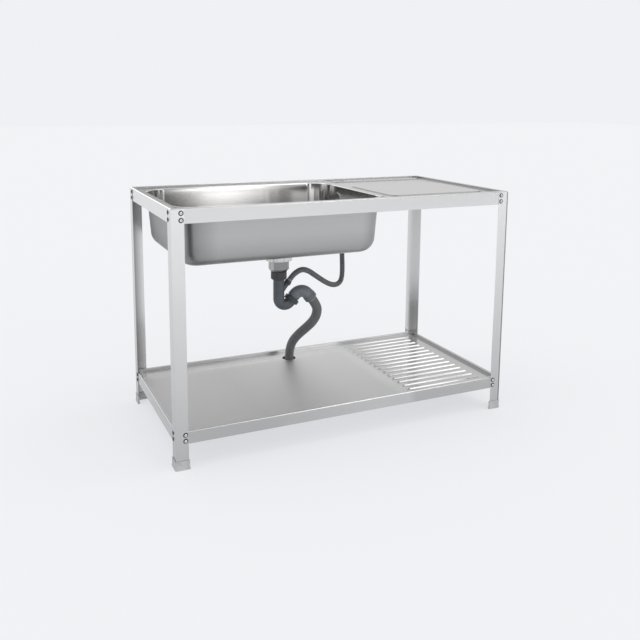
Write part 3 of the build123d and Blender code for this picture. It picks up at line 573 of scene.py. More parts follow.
# each plastic's or rubber's roughness, scale of its grain and depth of the grain
PLASTICS = {
    "Foot plastic": (0.55, 900.0, 0.00004),
    "Trap plastic": (0.42, 900.0, 0.00004),
    "Elbow plastic": (0.45, 900.0, 0.00004),
    "Nut plastic": (0.36, 900.0, 0.00004),
    "Hose nut plastic": (0.38, 900.0, 0.00004),
    "Hose plastic": (0.46, 700.0, 0.00004),
    "Hole edging and shade": (0.60, 900.0, 0.00004),
    "Seal rubber": (0.60, 500.0, 0.00005),
}
PLASTIC_TINTS, PLASTIC_GLOSS, PLASTIC_RELIEF = (0.88, 1.12), (-0.05, 0.07), 0.4
DUST_MOST, DUST_SHARE, DUST_GREY = 0.35, 0.25, 0.45
CREST = "crest"
# share of a hose's tint left by the painted shade between its ribs
RIB_GROOVE_SHADE = 0.12


def shaded(tint, amount):
    """A colour made darker or lighter."""
    return tuple(min(1.0, channel * amount) for channel in tint)


def new_material(name):
    """Empty material and its tree."""
    material = bpy.data.materials.new(name)
    material.use_nodes = True
    return material, material.node_tree


def surfaced(tree, inputs, height, strength, depth):
    """Gives a material's shader its inputs and a relief."""
    bump = add(tree, "ShaderNodeBump", {"Strength": strength, "Distance": depth, "Height": height})
    feed(tree, tree.nodes[SHADER], {**inputs, "Normal": bump.outputs["Normal"]})


def darkened(tree, mask, amount):
    """Makes the base colour darker where a mask is 1, to amount times what it was."""
    base = tree.nodes[SHADER].inputs["Base Color"]
    colour = blended(tree, mask, base.links[0].from_socket, (amount,) * 3, "MULTIPLY")
    tree.links.new(colour, base)


def painted(tree, amount, *limits):
    """Makes the base colour darker where every limit is whole. A limit is a number, its value
    where the shade is none and its value where it is whole."""
    darkened(tree, product(tree, *(fade(tree, *limit) for limit in limits)), amount)


def steel(name, tint):
    """Stainless sheet: rolled lines in the gloss, the tint and the height, and slow clouds."""
    rough, lines, depth, uneven, clouds = STEELS[name]
    material, tree = new_material(name)
    grain = placed(tree, "grain", Across=lines)
    both = maths(tree, "ADD", grain["Mask"], placed(tree, "clouds", Scale=clouds)["Mask"])
    mask = fade(tree, both, *STEEL_LEVELS)
    surfaced(tree, {
        "Base Color": blended(tree, mask, shaded(tint, 1 - uneven), shaded(tint, 1 + uneven)),
        "Metallic": 1.0,
        "Roughness": mapped(tree, mask, *(rough * part for part in STEEL_GLOSS))},
        grain["Height"], STEEL_RELIEF, depth)
    return material


def moulded(name, tint, ribbed=False):
    """Moulded plastic or rubber. A ribbed hose keeps its tint on the crests and has a painted shade
    between them."""
    rough, grain, depth = PLASTICS[name]
    material, tree = new_material(name)
    skin = placed(tree, "skin", Grain=grain)
    base = blended(tree, skin["Mask"], *(shaded(tint, amount) for amount in PLASTIC_TINTS))
    if ribbed:
        crest = add(tree, "ShaderNodeAttribute", attribute_name=CREST).outputs["Fac"]
        base = blended(tree, crest, shaded(tint, RIB_GROOVE_SHADE), base)
    pale = tuple((1 - DUST_SHARE) * channel + DUST_SHARE * DUST_GREY for channel in tint)
    surfaced(tree, {
        "Base Color": blended(tree, mapped(tree, skin["Dust"], 0.0, DUST_MOST), base, pale),
        "Roughness": mapped(tree, skin["Mask"], *(rough + more for more in PLASTIC_GLOSS))},
        skin["Height"], PLASTIC_RELIEF, depth)
    return material


# scale, depth and relief of the legs' lines, scale of their clouds, and the range of both masks
LEG_LINES, LEG_DEPTH, LEG_RELIEF = (700.0, 700.0, 4.0), 0.00001, 0.2
LEG_CLOUDS, LEG_LEVELS = 4.0, (0.2, 1.8)
# painted shade up the legs: their tint at the foot and at the top, as shares of the colour, and
# the heights between
LEG_LOW, LEG_TOP, LEG_CLIMB = (0.57, 0.60), (0.985, 1.015), (0.02, 0.78)
# where each mask of painted light and shade is none and where it is whole: the inside of the angle,
# the X of its left end, faces that look left or right, the folds, the X of the painted shadow line
# along the right front corner and the faces that have it, and the painted shadow ring round a screw
WITHIN, LEFT_END, ASIDE, FOLD = (-0.3, -0.9), (-0.564, -0.590), (0.75, 0.97), (0.05, 0.25)
LINE_X, LINE_FACE, RING = (0.5932, 0.5945), (-0.5, -0.9), (0.0088, 0.0068)
# the share of the tint that each shade leaves, and the roughness of the metal and of dull places
INNER_LEAVES, LEFT_LEAVES, ASIDE_LEAVES, LINE_LEAVES, RING_LEAVES = 0.82, 0.48, 0.82, 0.35, 0.06
LEG_ROUGH, DULL_ROUGH = (0.20, 0.27), 0.9


def leg_finish(tint):
    """Satin steel of the legs, with painted light and shade. It is lighter at the top and all along
    the inside of the angle, darker on faces that look left or right and at the inside of the left
    end, and dull, with a dark painted shadow, in the folds, along the right front corner and in a
    ring round each screw head."""
    material, tree = new_material("Leg steel")
    work, masked = partial(maths, tree), partial(fade, tree)
    grain = placed(tree, "grain", Across=LEG_LINES)
    cloud = placed(tree, "clouds", Scale=LEG_CLOUDS)
    at, facing = on_piece(tree, "Object"), on_piece(tree, "Normal")
    even = masked(work("ADD", grain["Mask"], cloud["Mask"]), *LEG_LEVELS)
    outward = work("ADD", *(work("MULTIPLY", facing[axis], work("SIGN", at[axis]))
                            for axis in "XY"))
    within = masked(outward, *WITHIN)
    high = work("MAXIMUM", masked(at["Z"], *LEG_CLIMB), within)
    low, top = (blended(tree, even, *(shaded(tint, amount) for amount in pair))
                for pair in (LEG_LOW, LEG_TOP))
    feed(tree, tree.nodes[SHADER], {"Base Color": blended(tree, high, low, top)})
    darkened(tree, product(tree, within, work("ABSOLUTE", facing["Y"])), INNER_LEAVES)
    darkened(tree, product(tree, within, masked(at["X"], *LEFT_END)), LEFT_LEAVES)
    aside = work("SUBTRACT", masked(work("ABSOLUTE", facing["X"]), *ASIDE), within)
    darkened(tree, work("MAXIMUM", aside), ASIDE_LEAVES)
    fold = product(tree, facing["X"], facing["Y"], -1.0)
    line = product(tree, masked(at["X"], *LINE_X), masked(facing["Y"], *LINE_FACE),
                   work("SUBTRACT", 1.0, within))
    line = work("MAXIMUM", masked(fold, *FOLD), line)
    darkened(tree, line, LINE_LEAVES)
    ring = masked(placed(tree, "seats")["Distance"], *RING)
    darkened(tree, ring, RING_LEAVES)
    dull = work("MAXIMUM", ring, line)
    rough = work("MAXIMUM", mapped(tree, even, *LEG_ROUGH), mapped(tree, dull, 0.0, DULL_ROUGH))
    surfaced(tree, {"Metallic": work("SUBTRACT", 1.0, dull), "Roughness": rough},
             grain["Height"], LEG_RELIEF, LEG_DEPTH)
    return material


# ---------------------------------------------------------------- pressed sheets and bowl

# points in each quarter circle, or round a whole circle, and up the side of a rib
EDGE_ARC, EDGE_EASE = 6, 0.0004
BEAD_ARC, PANEL_ARC, LEDGE_ARC, TAP_AROUND = 24, 14, 10, 48
WALL_ARC, FLANGE_ARC, HOLE_AROUND, RIB_ARC, RIB_STEPS = 28, 20, 64, 8, 9
FLANGE, FLANGE_INSET = 0.012, 0.0012

# the painted shades stand for what a studio mirrors in steel. The dark line beside each pressed
# step and inside the rim: its width, and the share of the tint that it leaves
STEP_WIDTH, STEP_LEAVES = 0.011, 0.55
RIM_WIDTH, RIM_LEAVES, RIM_BESIDE = 0.003, 0.50, 0.001
# painted shades on the worktop's faces that look up and on its front roll: how much they look up,
# or up times back, for none and for whole, and the share left
LEVEL_FACES, LEVEL_LEAVES = (0.9, 0.99), 0.86
FRONT_ROLL, ROLL_LEAVES = (-0.1, -0.4), 0.55
# painted shades on the bowl's outside and on its back wall inside: axis, edge that the distance
# counts from, distance for none and for whole, and the share left; and how much the back wall looks
# forwards
BOWL_OUTSIDE = (("X", "left", 0.125, 0.055, 0.66), ("X", "right", -0.085, -0.005, 0.62),
                ("Z", "floor", 0.085, 0.030, 0.80))
BOWL_INSIDE = (("X", "left", 0.230, 0.070, 0.55), ("Z", "top", -0.027, -0.062, 0.66))
BACK_WALL = (-0.4, -0.8)
# painted shades on the shelf: X of its darker left part, faces that don't look up, and distance
# from the ribs' ends
SHELF_LEFT, SHELF_LEFT_LEAVES = (0.05, -0.30), 0.83
SHELF_STEEP, SHELF_STEEP_LEAVES = (0.95, 0.5), 0.82
SHELF_RIBBED, SHELF_RIBBED_LEAVES = (-0.02, 0.01), 0.86
# rougher parts of the shelf: the flat floor left of the ribs and in front of the hose's hole, and
# the back rim's inner wall
FLOOR_ROUGH, FLOOR_LEVEL = 0.30, (0.96, 0.995)
FLOOR_BESIDE_RIBS, FLOOR_BEFORE_HOLE = (0.0, -0.06), (0.01, -0.03)
WALL_ROUGH, WALL_FACES, WALL_BACK = 0.08, (-0.3, -0.9), (0.0, 0.1)
# a near-black edging round the hose's hole, whose tint also paints the shade inside the hole, and
# how far out it reaches
EDGING_AND_SHADE_TINT, EDGING_REACH = (0.012, 0.012, 0.012), 0.0012


def sheet_edge(sheet, top, skirt, rim, drop):
    """Rings of a sheet's edge, from the hem's inner edge, down round the skirt, over the rolled
    edge and the rim and down to the field, carried along (inset, height, corner radius)."""
    low, field = top - skirt, top - drop
    inner = sheet.corner * 2
    fold, step, foot, last, tight = 0.0013, 0.0022, 0.0007, 0.0010, 0.0005
    points = [(sheet.hem, low, tight), (0, low, sheet.corner), (0, top, sheet.corner),
              (rim, top, inner), (rim, field, inner), (rim + last, field, inner)]
    return rounded_rings((0, 0), (sheet.length / 2, sheet.depth / 2),
                         eased(points, [fold, sheet.edge, step, foot]), EDGE_ARC, EDGE_EASE)


def pressed_edge(low, rise, corner):
    """Profile of a raised area's slope: it starts just outside the outline at the field's height
    and ends on the raised flat."""
    start, run, soft, crest = 0.0007, 0.005, 0.0006, 0.0019
    points = [(-start, low, corner + start), (0, low, corner),
              (rise, low + rise, corner - rise), (rise + run, low + rise, corner - rise - run)]
    return eased(points, [soft, crest])


class SINK_OT_worktop(bpy.types.Operator):
    """Lay the pressed worktop sheet with its bead, platform, ledge and tap hole"""
    bl_idname = "sink.worktop"
    bl_label = "Worktop"

    def execute(self, context):
        sheet, press, bowl = (context.scene.sink_sheets, context.scene.sink_press,
                              context.scene.sink_bowl)
        field = sheet.worktop - sheet.worktop_drop
        raised = field + press.rise
        edge = sheet_edge(sheet, sheet.worktop, sheet.worktop_skirt, sheet.worktop_rim,
                          sheet.worktop_drop)
        slope = pressed_edge(field, press.rise, bowl.corner + press.bead)
        slope[:, 0] -= press.bead
        flat = np.array([(-bowl.lip, raised, bowl.corner + bowl.lip)])
        bead = rounded_rings((bowl.x, bowl.y), (bowl.length / 2, bowl.width / 2),
                             np.concatenate([slope, flat]), BEAD_ARC)
        forms = [((press.panel_x, press.panel_y),
                  (press.panel_length / 2, press.panel_depth / 2), press.panel_corner),
                 ((press.ledge_x, press.ledge_y),
                  (press.ledge_length / 2, press.ledge_depth / 2), press.ledge_corner)]
        panel, ledge = (
            rounded_rings(middle, half, pressed_edge(field, press.rise, corner), arc)
            for (middle, half, corner), arc in zip(forms, (PANEL_ARC, LEDGE_ARC)))
        tap = round_rings((press.tap_x, press.ledge_y), [(press.tap_radius, raised)],
                          TAP_AROUND)[0]
        surface = joined([
            lofted(edge), lofted(bead), lofted(panel), lofted(ledge),
            filled(edge[-1], [bead[0], panel[0], ledge[0]]),
            filled(panel[-1]), filled(ledge[-1], [tap])])
        points, faces, _ = thickened(*surface, sheet.gauge)

        finish = steel("Worktop steel", context.scene.sink_steel.worktop)
        tree = finish.node_tree
        forms.append(((bowl.x, bowl.y),
                      (bowl.length / 2 + press.bead, bowl.width / 2 + press.bead),
                      bowl.corner + press.bead))
        rim = sheet.worktop_rim + RIM_BESIDE
        field_form = ((0.0, 0.0), (sheet.length / 2 - rim, sheet.depth / 2 - rim),
                      sheet.corner * 2)
        for (middle, half, corner), width, leaves in (
                *((form, STEP_WIDTH, STEP_LEAVES) for form in forms),
                (field_form, RIM_WIDTH, RIM_LEAVES)):
            shade = placed(tree, "step", Middle=(*middle, 0.0), Half=(*half, 0.0), Radius=corner,
                           Width=width)
            darkened(tree, shade["Mask"], leaves)
        facing = on_piece(tree, "Normal")
        painted(tree, LEVEL_LEAVES, (facing["Z"], *LEVEL_FACES))
        painted(tree, ROLL_LEAVES, (product(tree, facing["Z"], facing["Y"]), *FRONT_ROLL))
        make_piece(make_mesh("worktop_sheet", points, faces), [finish], ["sink_deck"])
        return {"FINISHED"}


class SINK_OT_bowl(bpy.types.Operator):
    """Draw the bowl with its lip, leaning walls, round bottom edge and drain recess"""
    bl_idname = "sink.bowl"
    bl_label = "Bowl"

    def execute(self, context):
        bowl, gauge = context.scene.sink_bowl, context.scene.sink_sheets.gauge
        looks = context.scene.sink_steel
        middle, half = (bowl.x, bowl.y), (bowl.length / 2, bowl.width / 2)
        lean = (bowl.top - bowl.floor) * math.tan(bowl.lean)
        trim = bowl.bottom * math.tan((math.pi / 2 - bowl.lean) / 2)
        lap, roll, run, steps, beside = 0.0002, 0.0045, 0.004, 15, 0.0012
        profile = eased([(-bowl.lip + lap, bowl.top), (0, bowl.top), (lean, bowl.floor),
                         (lean + trim + run, bowl.floor)], [roll, trim], steps, beside)
        profile = np.column_stack([profile, bowl.corner - profile[:, 0]])
        wall = rounded_rings(middle, half, profile, WALL_ARC)
        low, wide = bowl.floor - bowl.recess_drop, bowl.recess + bowl.recess_drop
        outside, soft = 0.006, 0.004
        recess = round_rings((bowl.drain_x, bowl.drain_y), eased([
            (wide + outside, bowl.floor), (wide, bowl.floor), (bowl.recess, low),
            (bowl.hole, low)], [soft, soft]))
        surface = joined([lofted(wall), lofted(recess), filled(wall[-1], [recess[0]])])
        points, faces, marks = thickened(*surface, gauge)
        top = bowl.top - gauge
        ring = np.array([(-FLANGE, top - gauge), (-FLANGE, top), (-FLANGE_INSET, top),
                         (-FLANGE_INSET, top - gauge)])
        ring = np.column_stack([ring, bowl.corner - ring[:, 0]])
        ring_points, ring_faces = lofted(rounded_rings(middle, half, ring, FLANGE_ARC),
                                         closed=True)
        faces = np.concatenate([faces, ring_faces + len(points)])
        points = np.concatenate([points, ring_points])
        marks = np.concatenate([np.minimum(marks, 1), np.ones(len(ring_faces), int)])

        edges = {"left": bowl.x - bowl.length / 2, "right": bowl.x + bowl.length / 2,
                 "floor": bowl.floor, "top": bowl.top}
        within = steel("Bowl steel inside", looks.bowl_inside)
        without = steel("Bowl steel outside", looks.bowl_outside)
        back_wall = (on_piece(within.node_tree, "Normal")["Y"], *BACK_WALL)
        for tree, shades, also in ((without.node_tree, BOWL_OUTSIDE, ()),
                                   (within.node_tree, BOWL_INSIDE, (back_wall,))):
            at = on_piece(tree, "Object")
            for axis, edge, none, whole, leaves in shades:
                painted(tree, leaves, (at[axis], edges[edge] + none, edges[edge] + whole), *also)
        make_piece(make_mesh("bowl_shell", points, faces, marks), [within, without],
                   ["sink_bowl"])
        return {"FINISHED"}


class SINK_OT_shelf(bpy.types.Operator):
    """Lay the shelf tray with its ribs and the hole for the drain hose"""
    bl_idname = "sink.shelf"
    bl_label = "Shelf"

    def execute(self, context):
        sheet, press = context.scene.sink_sheets, context.scene.sink_press
        floor = sheet.shelf - sheet.shelf_drop
        edge = sheet_edge(sheet, sheet.shelf, sheet.shelf_skirt, sheet.shelf_rim,
                          sheet.shelf_drop)
        radius = press.rib_width / 2
        slope, crown, beside = 0.72, 1.02, 0.001
        climb = np.linspace(0, 1, RIB_STEPS)
        height = floor + press.rib_rise * (1 - np.cos(math.pi * climb)) / 2
        inset = climb * radius * slope
        profile = np.concatenate([
            [(-beside, floor, radius + beside)], np.column_stack([inset, height, radius - inset]),
            [(radius, floor + press.rib_rise * crown, 0.0)]])
        rows = (np.arange(press.ribs) - (press.ribs - 1) / 2) * press.rib_pitch
        ribs = [rounded_rings((press.rib_x, y), (press.rib_length / 2, radius), profile, RIB_ARC,
                              0.0) for y in rows]
        outside, deep, lip = 0.006, 0.012, 0.0016
        hole = round_rings((press.hose_x, press.hose_y), eased([
            (press.hose_radius + outside, floor), (press.hose_radius, floor),
            (press.hose_radius, floor - deep)], [lip]), HOLE_AROUND)
        surface = joined([lofted(edge), lofted(hole)] + [lofted(rib) for rib in ribs]
                         + [filled(edge[-1], [hole[0]] + [rib[0] for rib in ribs])])
        points, faces, _ = thickened(*surface, sheet.gauge)

        finish = steel("Shelf steel", context.scene.sink_steel.shelf)
        tree = finish.node_tree
        at, facing = on_piece(tree, "Object"), on_piece(tree, "Normal")
        ribbed = press.rib_x - press.rib_length / 2
        painted(tree, SHELF_LEFT_LEAVES, (at["X"], *SHELF_LEFT))
        painted(tree, SHELF_STEEP_LEAVES, (facing["Z"], *SHELF_STEEP))
        painted(tree, SHELF_RIBBED_LEAVES, (at["X"], *(ribbed + x for x in SHELF_RIBBED)))
        flat = product(tree, FLOOR_ROUGH, fade(tree, facing["Z"], *FLOOR_LEVEL),
                       fade(tree, at["X"], *(ribbed + x for x in FLOOR_BESIDE_RIBS)),
                       fade(tree, at["Y"], *(press.hose_y + y for y in FLOOR_BEFORE_HOLE)))
        wall = product(tree, WALL_ROUGH, fade(tree, facing["Y"], *WALL_FACES),
                       fade(tree, at["Y"], *WALL_BACK))
        rough = tree.nodes[SHADER].inputs["Roughness"]
        rougher = maths(tree, "ADD", rough.links[0].from_socket, maths(tree, "ADD", flat, wall))
        tree.links.new(rougher, rough)

        # the faces round the hose's hole take the near-black edging, which also paints the shade
        # inside it
        middle = points[faces].mean(1)
        away = np.hypot(middle[:, 0] - press.hose_x, middle[:, 1] - press.hose_y)
        marks = (away < press.hose_radius + EDGING_REACH).astype(int)
        make_piece(make_mesh("shelf_sheet", points, faces, marks),
                   [finish, moulded("Hole edging and shade", EDGING_AND_SHADE_TINT)], ["shelf_tray"])
        return {"FINISHED"}


# ---------------------------------------------------------------- frame and waste

# painted shades of a screw's head by the distance from its axis, for none and for whole, and the
# share of the tint left: in the recess, on the rim, and on the rim of those that look left or right
RECESS, RECESS_LEAVES = (0.0020, 0.0012), 0.35
HEAD_RIM, HEAD_RIM_LEAVES = (0.0040, 0.0047), 0.22
SIDE_RIM, SIDE_RIM_LEAVES, SIDE_HEADS = (0.0022, 0.0036), 0.25, (0.598, 0.600)
# painted shade on the strainer's metal cup below a height, on its front, and the share left
CUP_HEIGHT, CUP_FRONT, CUP_LEAVES = (0.590, 0.582), (0.85, 0.55), 0.62
# tints of the locknut and the hose nut, and the painted shade that darkens the overflow's cover
LOCKNUT_TINT, COVER_SHADE, HOSE_NUT_TINT = 1.5, 0.5, 0.6


class SINK_OT_frame(bpy.types.Operator):
    """Finish the legs, their shoes, and the screws and nuts"""
    bl_idname = "sink.frame"
    bl_label = "Legs and screws"

    def execute(self, context):
        looks, plastics = context.scene.sink_steel, context.scene.sink_plastics
        corners = ("front_left", "front_right", "back_left", "back_right")
        finish_nodes(leg_finish(looks.leg), *("leg_" + corner for corner in corners))
        finish_nodes(moulded("Foot plastic", plastics.foot),
                     *("foot_" + corner for corner in corners))
        screw = steel("Screw steel", looks.screw)
        tree = screw.node_tree
        seats = placed(tree, "seats")["Distance"]
        aside = maths(tree, "ABSOLUTE", on_piece(tree, "Object")["X"])
        # painted shade in each head's recess and on its rim
        painted(tree, RECESS_LEAVES, (seats, *RECESS))
        painted(tree, HEAD_RIM_LEAVES, (seats, *HEAD_RIM))
        painted(tree, SIDE_RIM_LEAVES, (aside, *SIDE_HEADS), (seats, *SIDE_RIM))
        finish_nodes(screw, "top_screws", "shelf_screws")
        finish_nodes(steel("Nut steel", looks.screw), "top_nuts", "shelf_nuts")
        return {"FINISHED"}


class SINK_OT_strainer(bpy.types.Operator):
    """Finish the strainer, its seals, basket and stopper, and the overflow's cover"""
    bl_idname = "sink.strainer"
    bl_label = "Strainer"

    def execute(self, context):
        looks, plastics = context.scene.sink_steel, context.scene.sink_plastics
        pressed = steel("Strainer steel", looks.strainer)
        finish_nodes(pressed, "strainer_body", "basket", "stopper_stem", "overflow_screw")
        tree = pressed.node_tree
        # painted shade on the front of the cup, low down
        aside = maths(tree, "ABSOLUTE", on_piece(tree, "Normal")["X"])
        painted(tree, CUP_LEAVES, (on_piece(tree, "Object")["Z"], *CUP_HEIGHT),
                (aside, *CUP_FRONT))
        finish_nodes(steel("Locknut steel", shaded(looks.strainer, LOCKNUT_TINT)),
                     "strainer_locknut")
        finish_nodes(steel("Overflow cover steel", shaded(looks.bowl_inside, COVER_SHADE)),
                     "overflow_cover")
        finish_nodes(moulded("Seal rubber", plastics.rubber), "strainer_seal",
                     "strainer_washer", "stopper_disc", "tailpiece_washer", "trap_washer",
                     "overflow_seal", "hose_end_cuff")
        return {"FINISHED"}


class SINK_OT_trap(bpy.types.Operator):
    """Finish the trap, its nuts, the outlet elbow and the overflow elbow"""
    bl_idname = "sink.trap"
    bl_label = "Trap"

    def execute(self, context):
        plastics = context.scene.sink_plastics
        finish_nodes(moulded("Trap plastic", plastics.trap), "trap_pipe", "overflow_elbow")
        finish_nodes(moulded("Elbow plastic", plastics.elbow), "outlet_elbow")
        finish_nodes(moulded("Nut plastic", plastics.nut), "tailpiece_nut", "trap_nut",
                     "overflow_hose_nut")
        finish_nodes(moulded("Hose nut plastic", shaded(plastics.hose, HOSE_NUT_TINT)),
                     "hose_nut")
        return {"FINISHED"}


# ---------------------------------------------------------------- hoses

DRAIN_ROUTE = [
    (-0.0648, -0.0800, 0.4357), (-0.0350, -0.0800, 0.4002), (-0.0240, -0.0520, 0.3570),
    (-0.0230, -0.0120, 0.3190), (-0.0290, 0.0370, 0.2820), (-0.0350, 0.0880, 0.2450),
    (-0.0350, 0.1370, 0.2080), (-0.0280, 0.1810, 0.1700), (-0.0200, 0.2150, 0.1240),
    (-0.0200, 0.2150, 0.0460)]
OVERFLOW_ROUTE = [
    (-0.1480, -0.0800, 0.4920), (-0.1314, -0.0800, 0.5133), (-0.1120, -0.0740, 0.5250),
    (-0.0840, -0.0580, 0.5290), (-0.0520, -0.0380, 0.5170), (-0.0190, -0.0150, 0.4950),
    (0.0150, 0.0090, 0.4720), (0.0490, 0.0330, 0.4500), (0.0840, 0.0570, 0.4310),
    (0.1180, 0.0790, 0.4230), (0.1420, 0.0950, 0.4290), (0.1520, 0.1020, 0.4510),
    (0.1540, 0.1055, 0.4880), (0.1525, 0.1070, 0.5400), (0.1495, 0.1065, 0.5980),
    (0.1480, 0.1050, 0.6550), (0.1480, 0.1050, 0.7120)]
CUFF = 0.014
LINE_STEPS, LINE_ORDER = 24, 3
RIB_GAIN, RIB_BEND, RIB_BASE = 0.9, 1.2, 0.35


def smooth_line(name, route):
    """Points of the NURBS curve of order 3 that has the route's points as its control points."""
    curve = bpy.data.curves.new(name, "CURVE")
    curve.dimensions, curve.resolution_u = "3D", LINE_STEPS
    spline = curve.splines.new("NURBS")
    spline.points.add(len(route) - 1)
    spline.points.foreach_set("co", np.column_stack([route, np.ones(len(route))]).ravel())
    spline.order_u, spline.use_endpoint_u = LINE_ORDER, True
    holder = bpy.data.objects.new(name, curve)
    mesh = bpy.data.meshes.new_from_object(holder)
    line = np.zeros(len(mesh.vertices) * 3)
    mesh.vertices.foreach_get("co", line)
    bpy.data.meshes.remove(mesh)
    bpy.data.objects.remove(holder)
    bpy.data.curves.remove(curve)
    return line.reshape(-1, 3)


def ribbed_tube(line, crest, root, bore, pitch, steady, around, per_rib):
    """Ribbed hose round a line. At a distance s along it the radius is root + (crest - root) r,
    where r is 1 on the cuffs and made from w = cos(2 pi s / pitch) / 2 between them, with s from
    the cuff: r = 1/2 + gain w / (bend |w| + base), held between 0 and 1. Each ring stands square
    to the line, turned from a steady axis; the bore closes it."""
    gaps = np.linalg.norm(np.diff(line, axis=0), axis=1)
    along = np.concatenate([[0], np.cumsum(gaps)])
    total = along[-1]
    count = round((total - 2 * CUFF) / pitch)
    at = np.concatenate([[0.0], np.linspace(CUFF, total - CUFF, count * per_rib + 1), [total]])
    middle = np.stack([np.interp(at, along, line[:, k]) for k in range(3)], 1)
    way = np.gradient(middle, at, axis=0)
    way /= np.linalg.norm(way, axis=1, keepdims=True)
    side = np.cross(way, np.array(steady, float))
    side /= np.linalg.norm(side, axis=1, keepdims=True)
    rest = np.cross(way, side)
    off = np.cos(2 * math.pi * (at - CUFF) / (total - 2 * CUFF) * count) / 2
    wave = np.clip(0.5 + RIB_GAIN * off / (np.abs(off) * RIB_BEND + RIB_BASE), 0, 1)
    wave[[0, -1]] = 1.0
    turn = np.linspace(0, 2 * math.pi, around, endpoint=False)[None, :, None]
    spoke = np.cos(turn) * side[:, None] + np.sin(turn) * rest[:, None]
    outer = middle[:, None] + spoke * (root + (crest - root) * wave)[:, None, None]
    hollow = np.unique(np.append(np.arange(0, len(at), per_rib), len(at) - 1))[::-1]
    inner = middle[hollow, None] + spoke[hollow] * bore
    rings = np.concatenate([outer, inner])
    marks = np.concatenate([np.repeat(wave, around), np.zeros(len(hollow) * around)])
    points, faces = lofted(rings, closed=True)
    return middle, total, points, faces, marks


def make_hose(name, node, material, route, sizes, steady, around, per_rib, **said):
    """Ribbed hose that stands for its plain solid."""
    crest, root, bore, pitch = sizes
    line = smooth_line(name, np.array(route))
    middle, total, points, faces, crests = ribbed_tube(line, crest, root, bore, pitch, steady,
                                                       around, per_rib)
    mesh = make_mesh(name, points, faces)
    held = mesh.attributes.new(CREST, "FLOAT", "POINT")
    held.data.foreach_set("value", crests.astype(np.float32))
    hose = make_piece(mesh, [material], [node])
    return hose


class SINK_OT_hoses(bpy.types.Operator):
    """Lay the ribbed drain hose and the thin ribbed overflow hose along their routes"""
    bl_idname = "sink.hoses"
    bl_label = "Hoses"

    def execute(self, context):
        sizes, plastics = context.scene.sink_hoses, context.scene.sink_plastics
        hose_with_shaded_grooves = moulded("Hose plastic", plastics.hose, ribbed=True)
        make_hose("drain_hose_ribbed", "drain_hose", hose_with_shaded_grooves, DRAIN_ROUTE,
                  (sizes.drain_crest, sizes.drain_root, sizes.drain_bore, sizes.drain_pitch),
                  steady=(1, 0, 0), around=36, per_rib=8, far_end="connector",
                  stiffness="stiff", lay="hanging", with_pieces=["hose_end_cuff"])
        make_hose("overflow_hose_ribbed", "overflow_hose", hose_with_shaded_grooves, OVERFLOW_ROUTE,
                  (sizes.overflow_crest, sizes.overflow_root, sizes.overflow_bore,
                   sizes.overflow_pitch), steady=(0, 1, 0), around=24, per_rib=6,
                  far_end="object", stiffness="stiff", lay="hanging")
        return {"FINISHED"}


# ---------------------------------------------------------------- stage

CAMERA_PLACE = (-1.1029, -2.4038, 1.1085)
CAMERA_YAW, CAMERA_PITCH, CAMERA_ROLL = (math.radians(a) for a in (24.843, 9.082, -0.453))
CAMERA_LENS, CAMERA_SENSOR, CAMERA_SHIFT = 42.289, 36.0, -0.155
FLOOR_SIZE, FLOOR_ROUGHNESS = 60.0, 0.9

# the studio's lights: azimuth from the back towards the right, elevation, inner and outer angle,
# all in degrees, and the brightness that each adds
STUDIO = [
    (162.9, 1.8, 2.2, 4.8, 2.6),
    (155.5, 3.0, 1.0, 4.0, 0.6),
    (17.6, 10.3, 1.2, 2.9, 2.6),
    (11.0, 9.5, 3.4, 5.6, -0.5),
    (347.0, 11.5, 10.0, 16.0, 0.8),
    (183.0, 5.0, 3.0, 8.0, 1.4),
    (138.0, 5.0, 2.5, 7.0, 2.2),
    (106.0, 5.0, 2.0, 6.0, 0.4),
    (252.0, 6.0, 5.0, 14.0, 0.15),
    (155.0, 16.5, 5.5, 9.0, 3.2),
    (328.0, 4.0, 4.0, 8.0, -0.5),
    (106.0, 58.0, 11.0, 19.0, 1.5),
    (286.0, 58.0, 11.0, 19.0, 1.2),
    (150.0, 38.0, 8.0, 16.0, 0.9),
]
# degrees: the heights between which the walls turn to the ceiling, the angles round FRONT_AIM
# between which the dark band in front ends, and the heights between which it ends
ZENITH_FROM, ZENITH_TO = 25.0, 60.0
FRONT_AIM = (0.15, -1.0, 0.0)
FRONT_FROM, FRONT_TO = 74.0, 92.0
FRONT_TOP_FROM, FRONT_TOP_TO = 11.0, 16.0


def sine(degrees):
    """Sine of an angle in degrees."""
    return math.sin(math.radians(degrees))


def cosine(degrees):
    """Cosine of an angle in degrees."""
    return math.cos(math.radians(degrees))


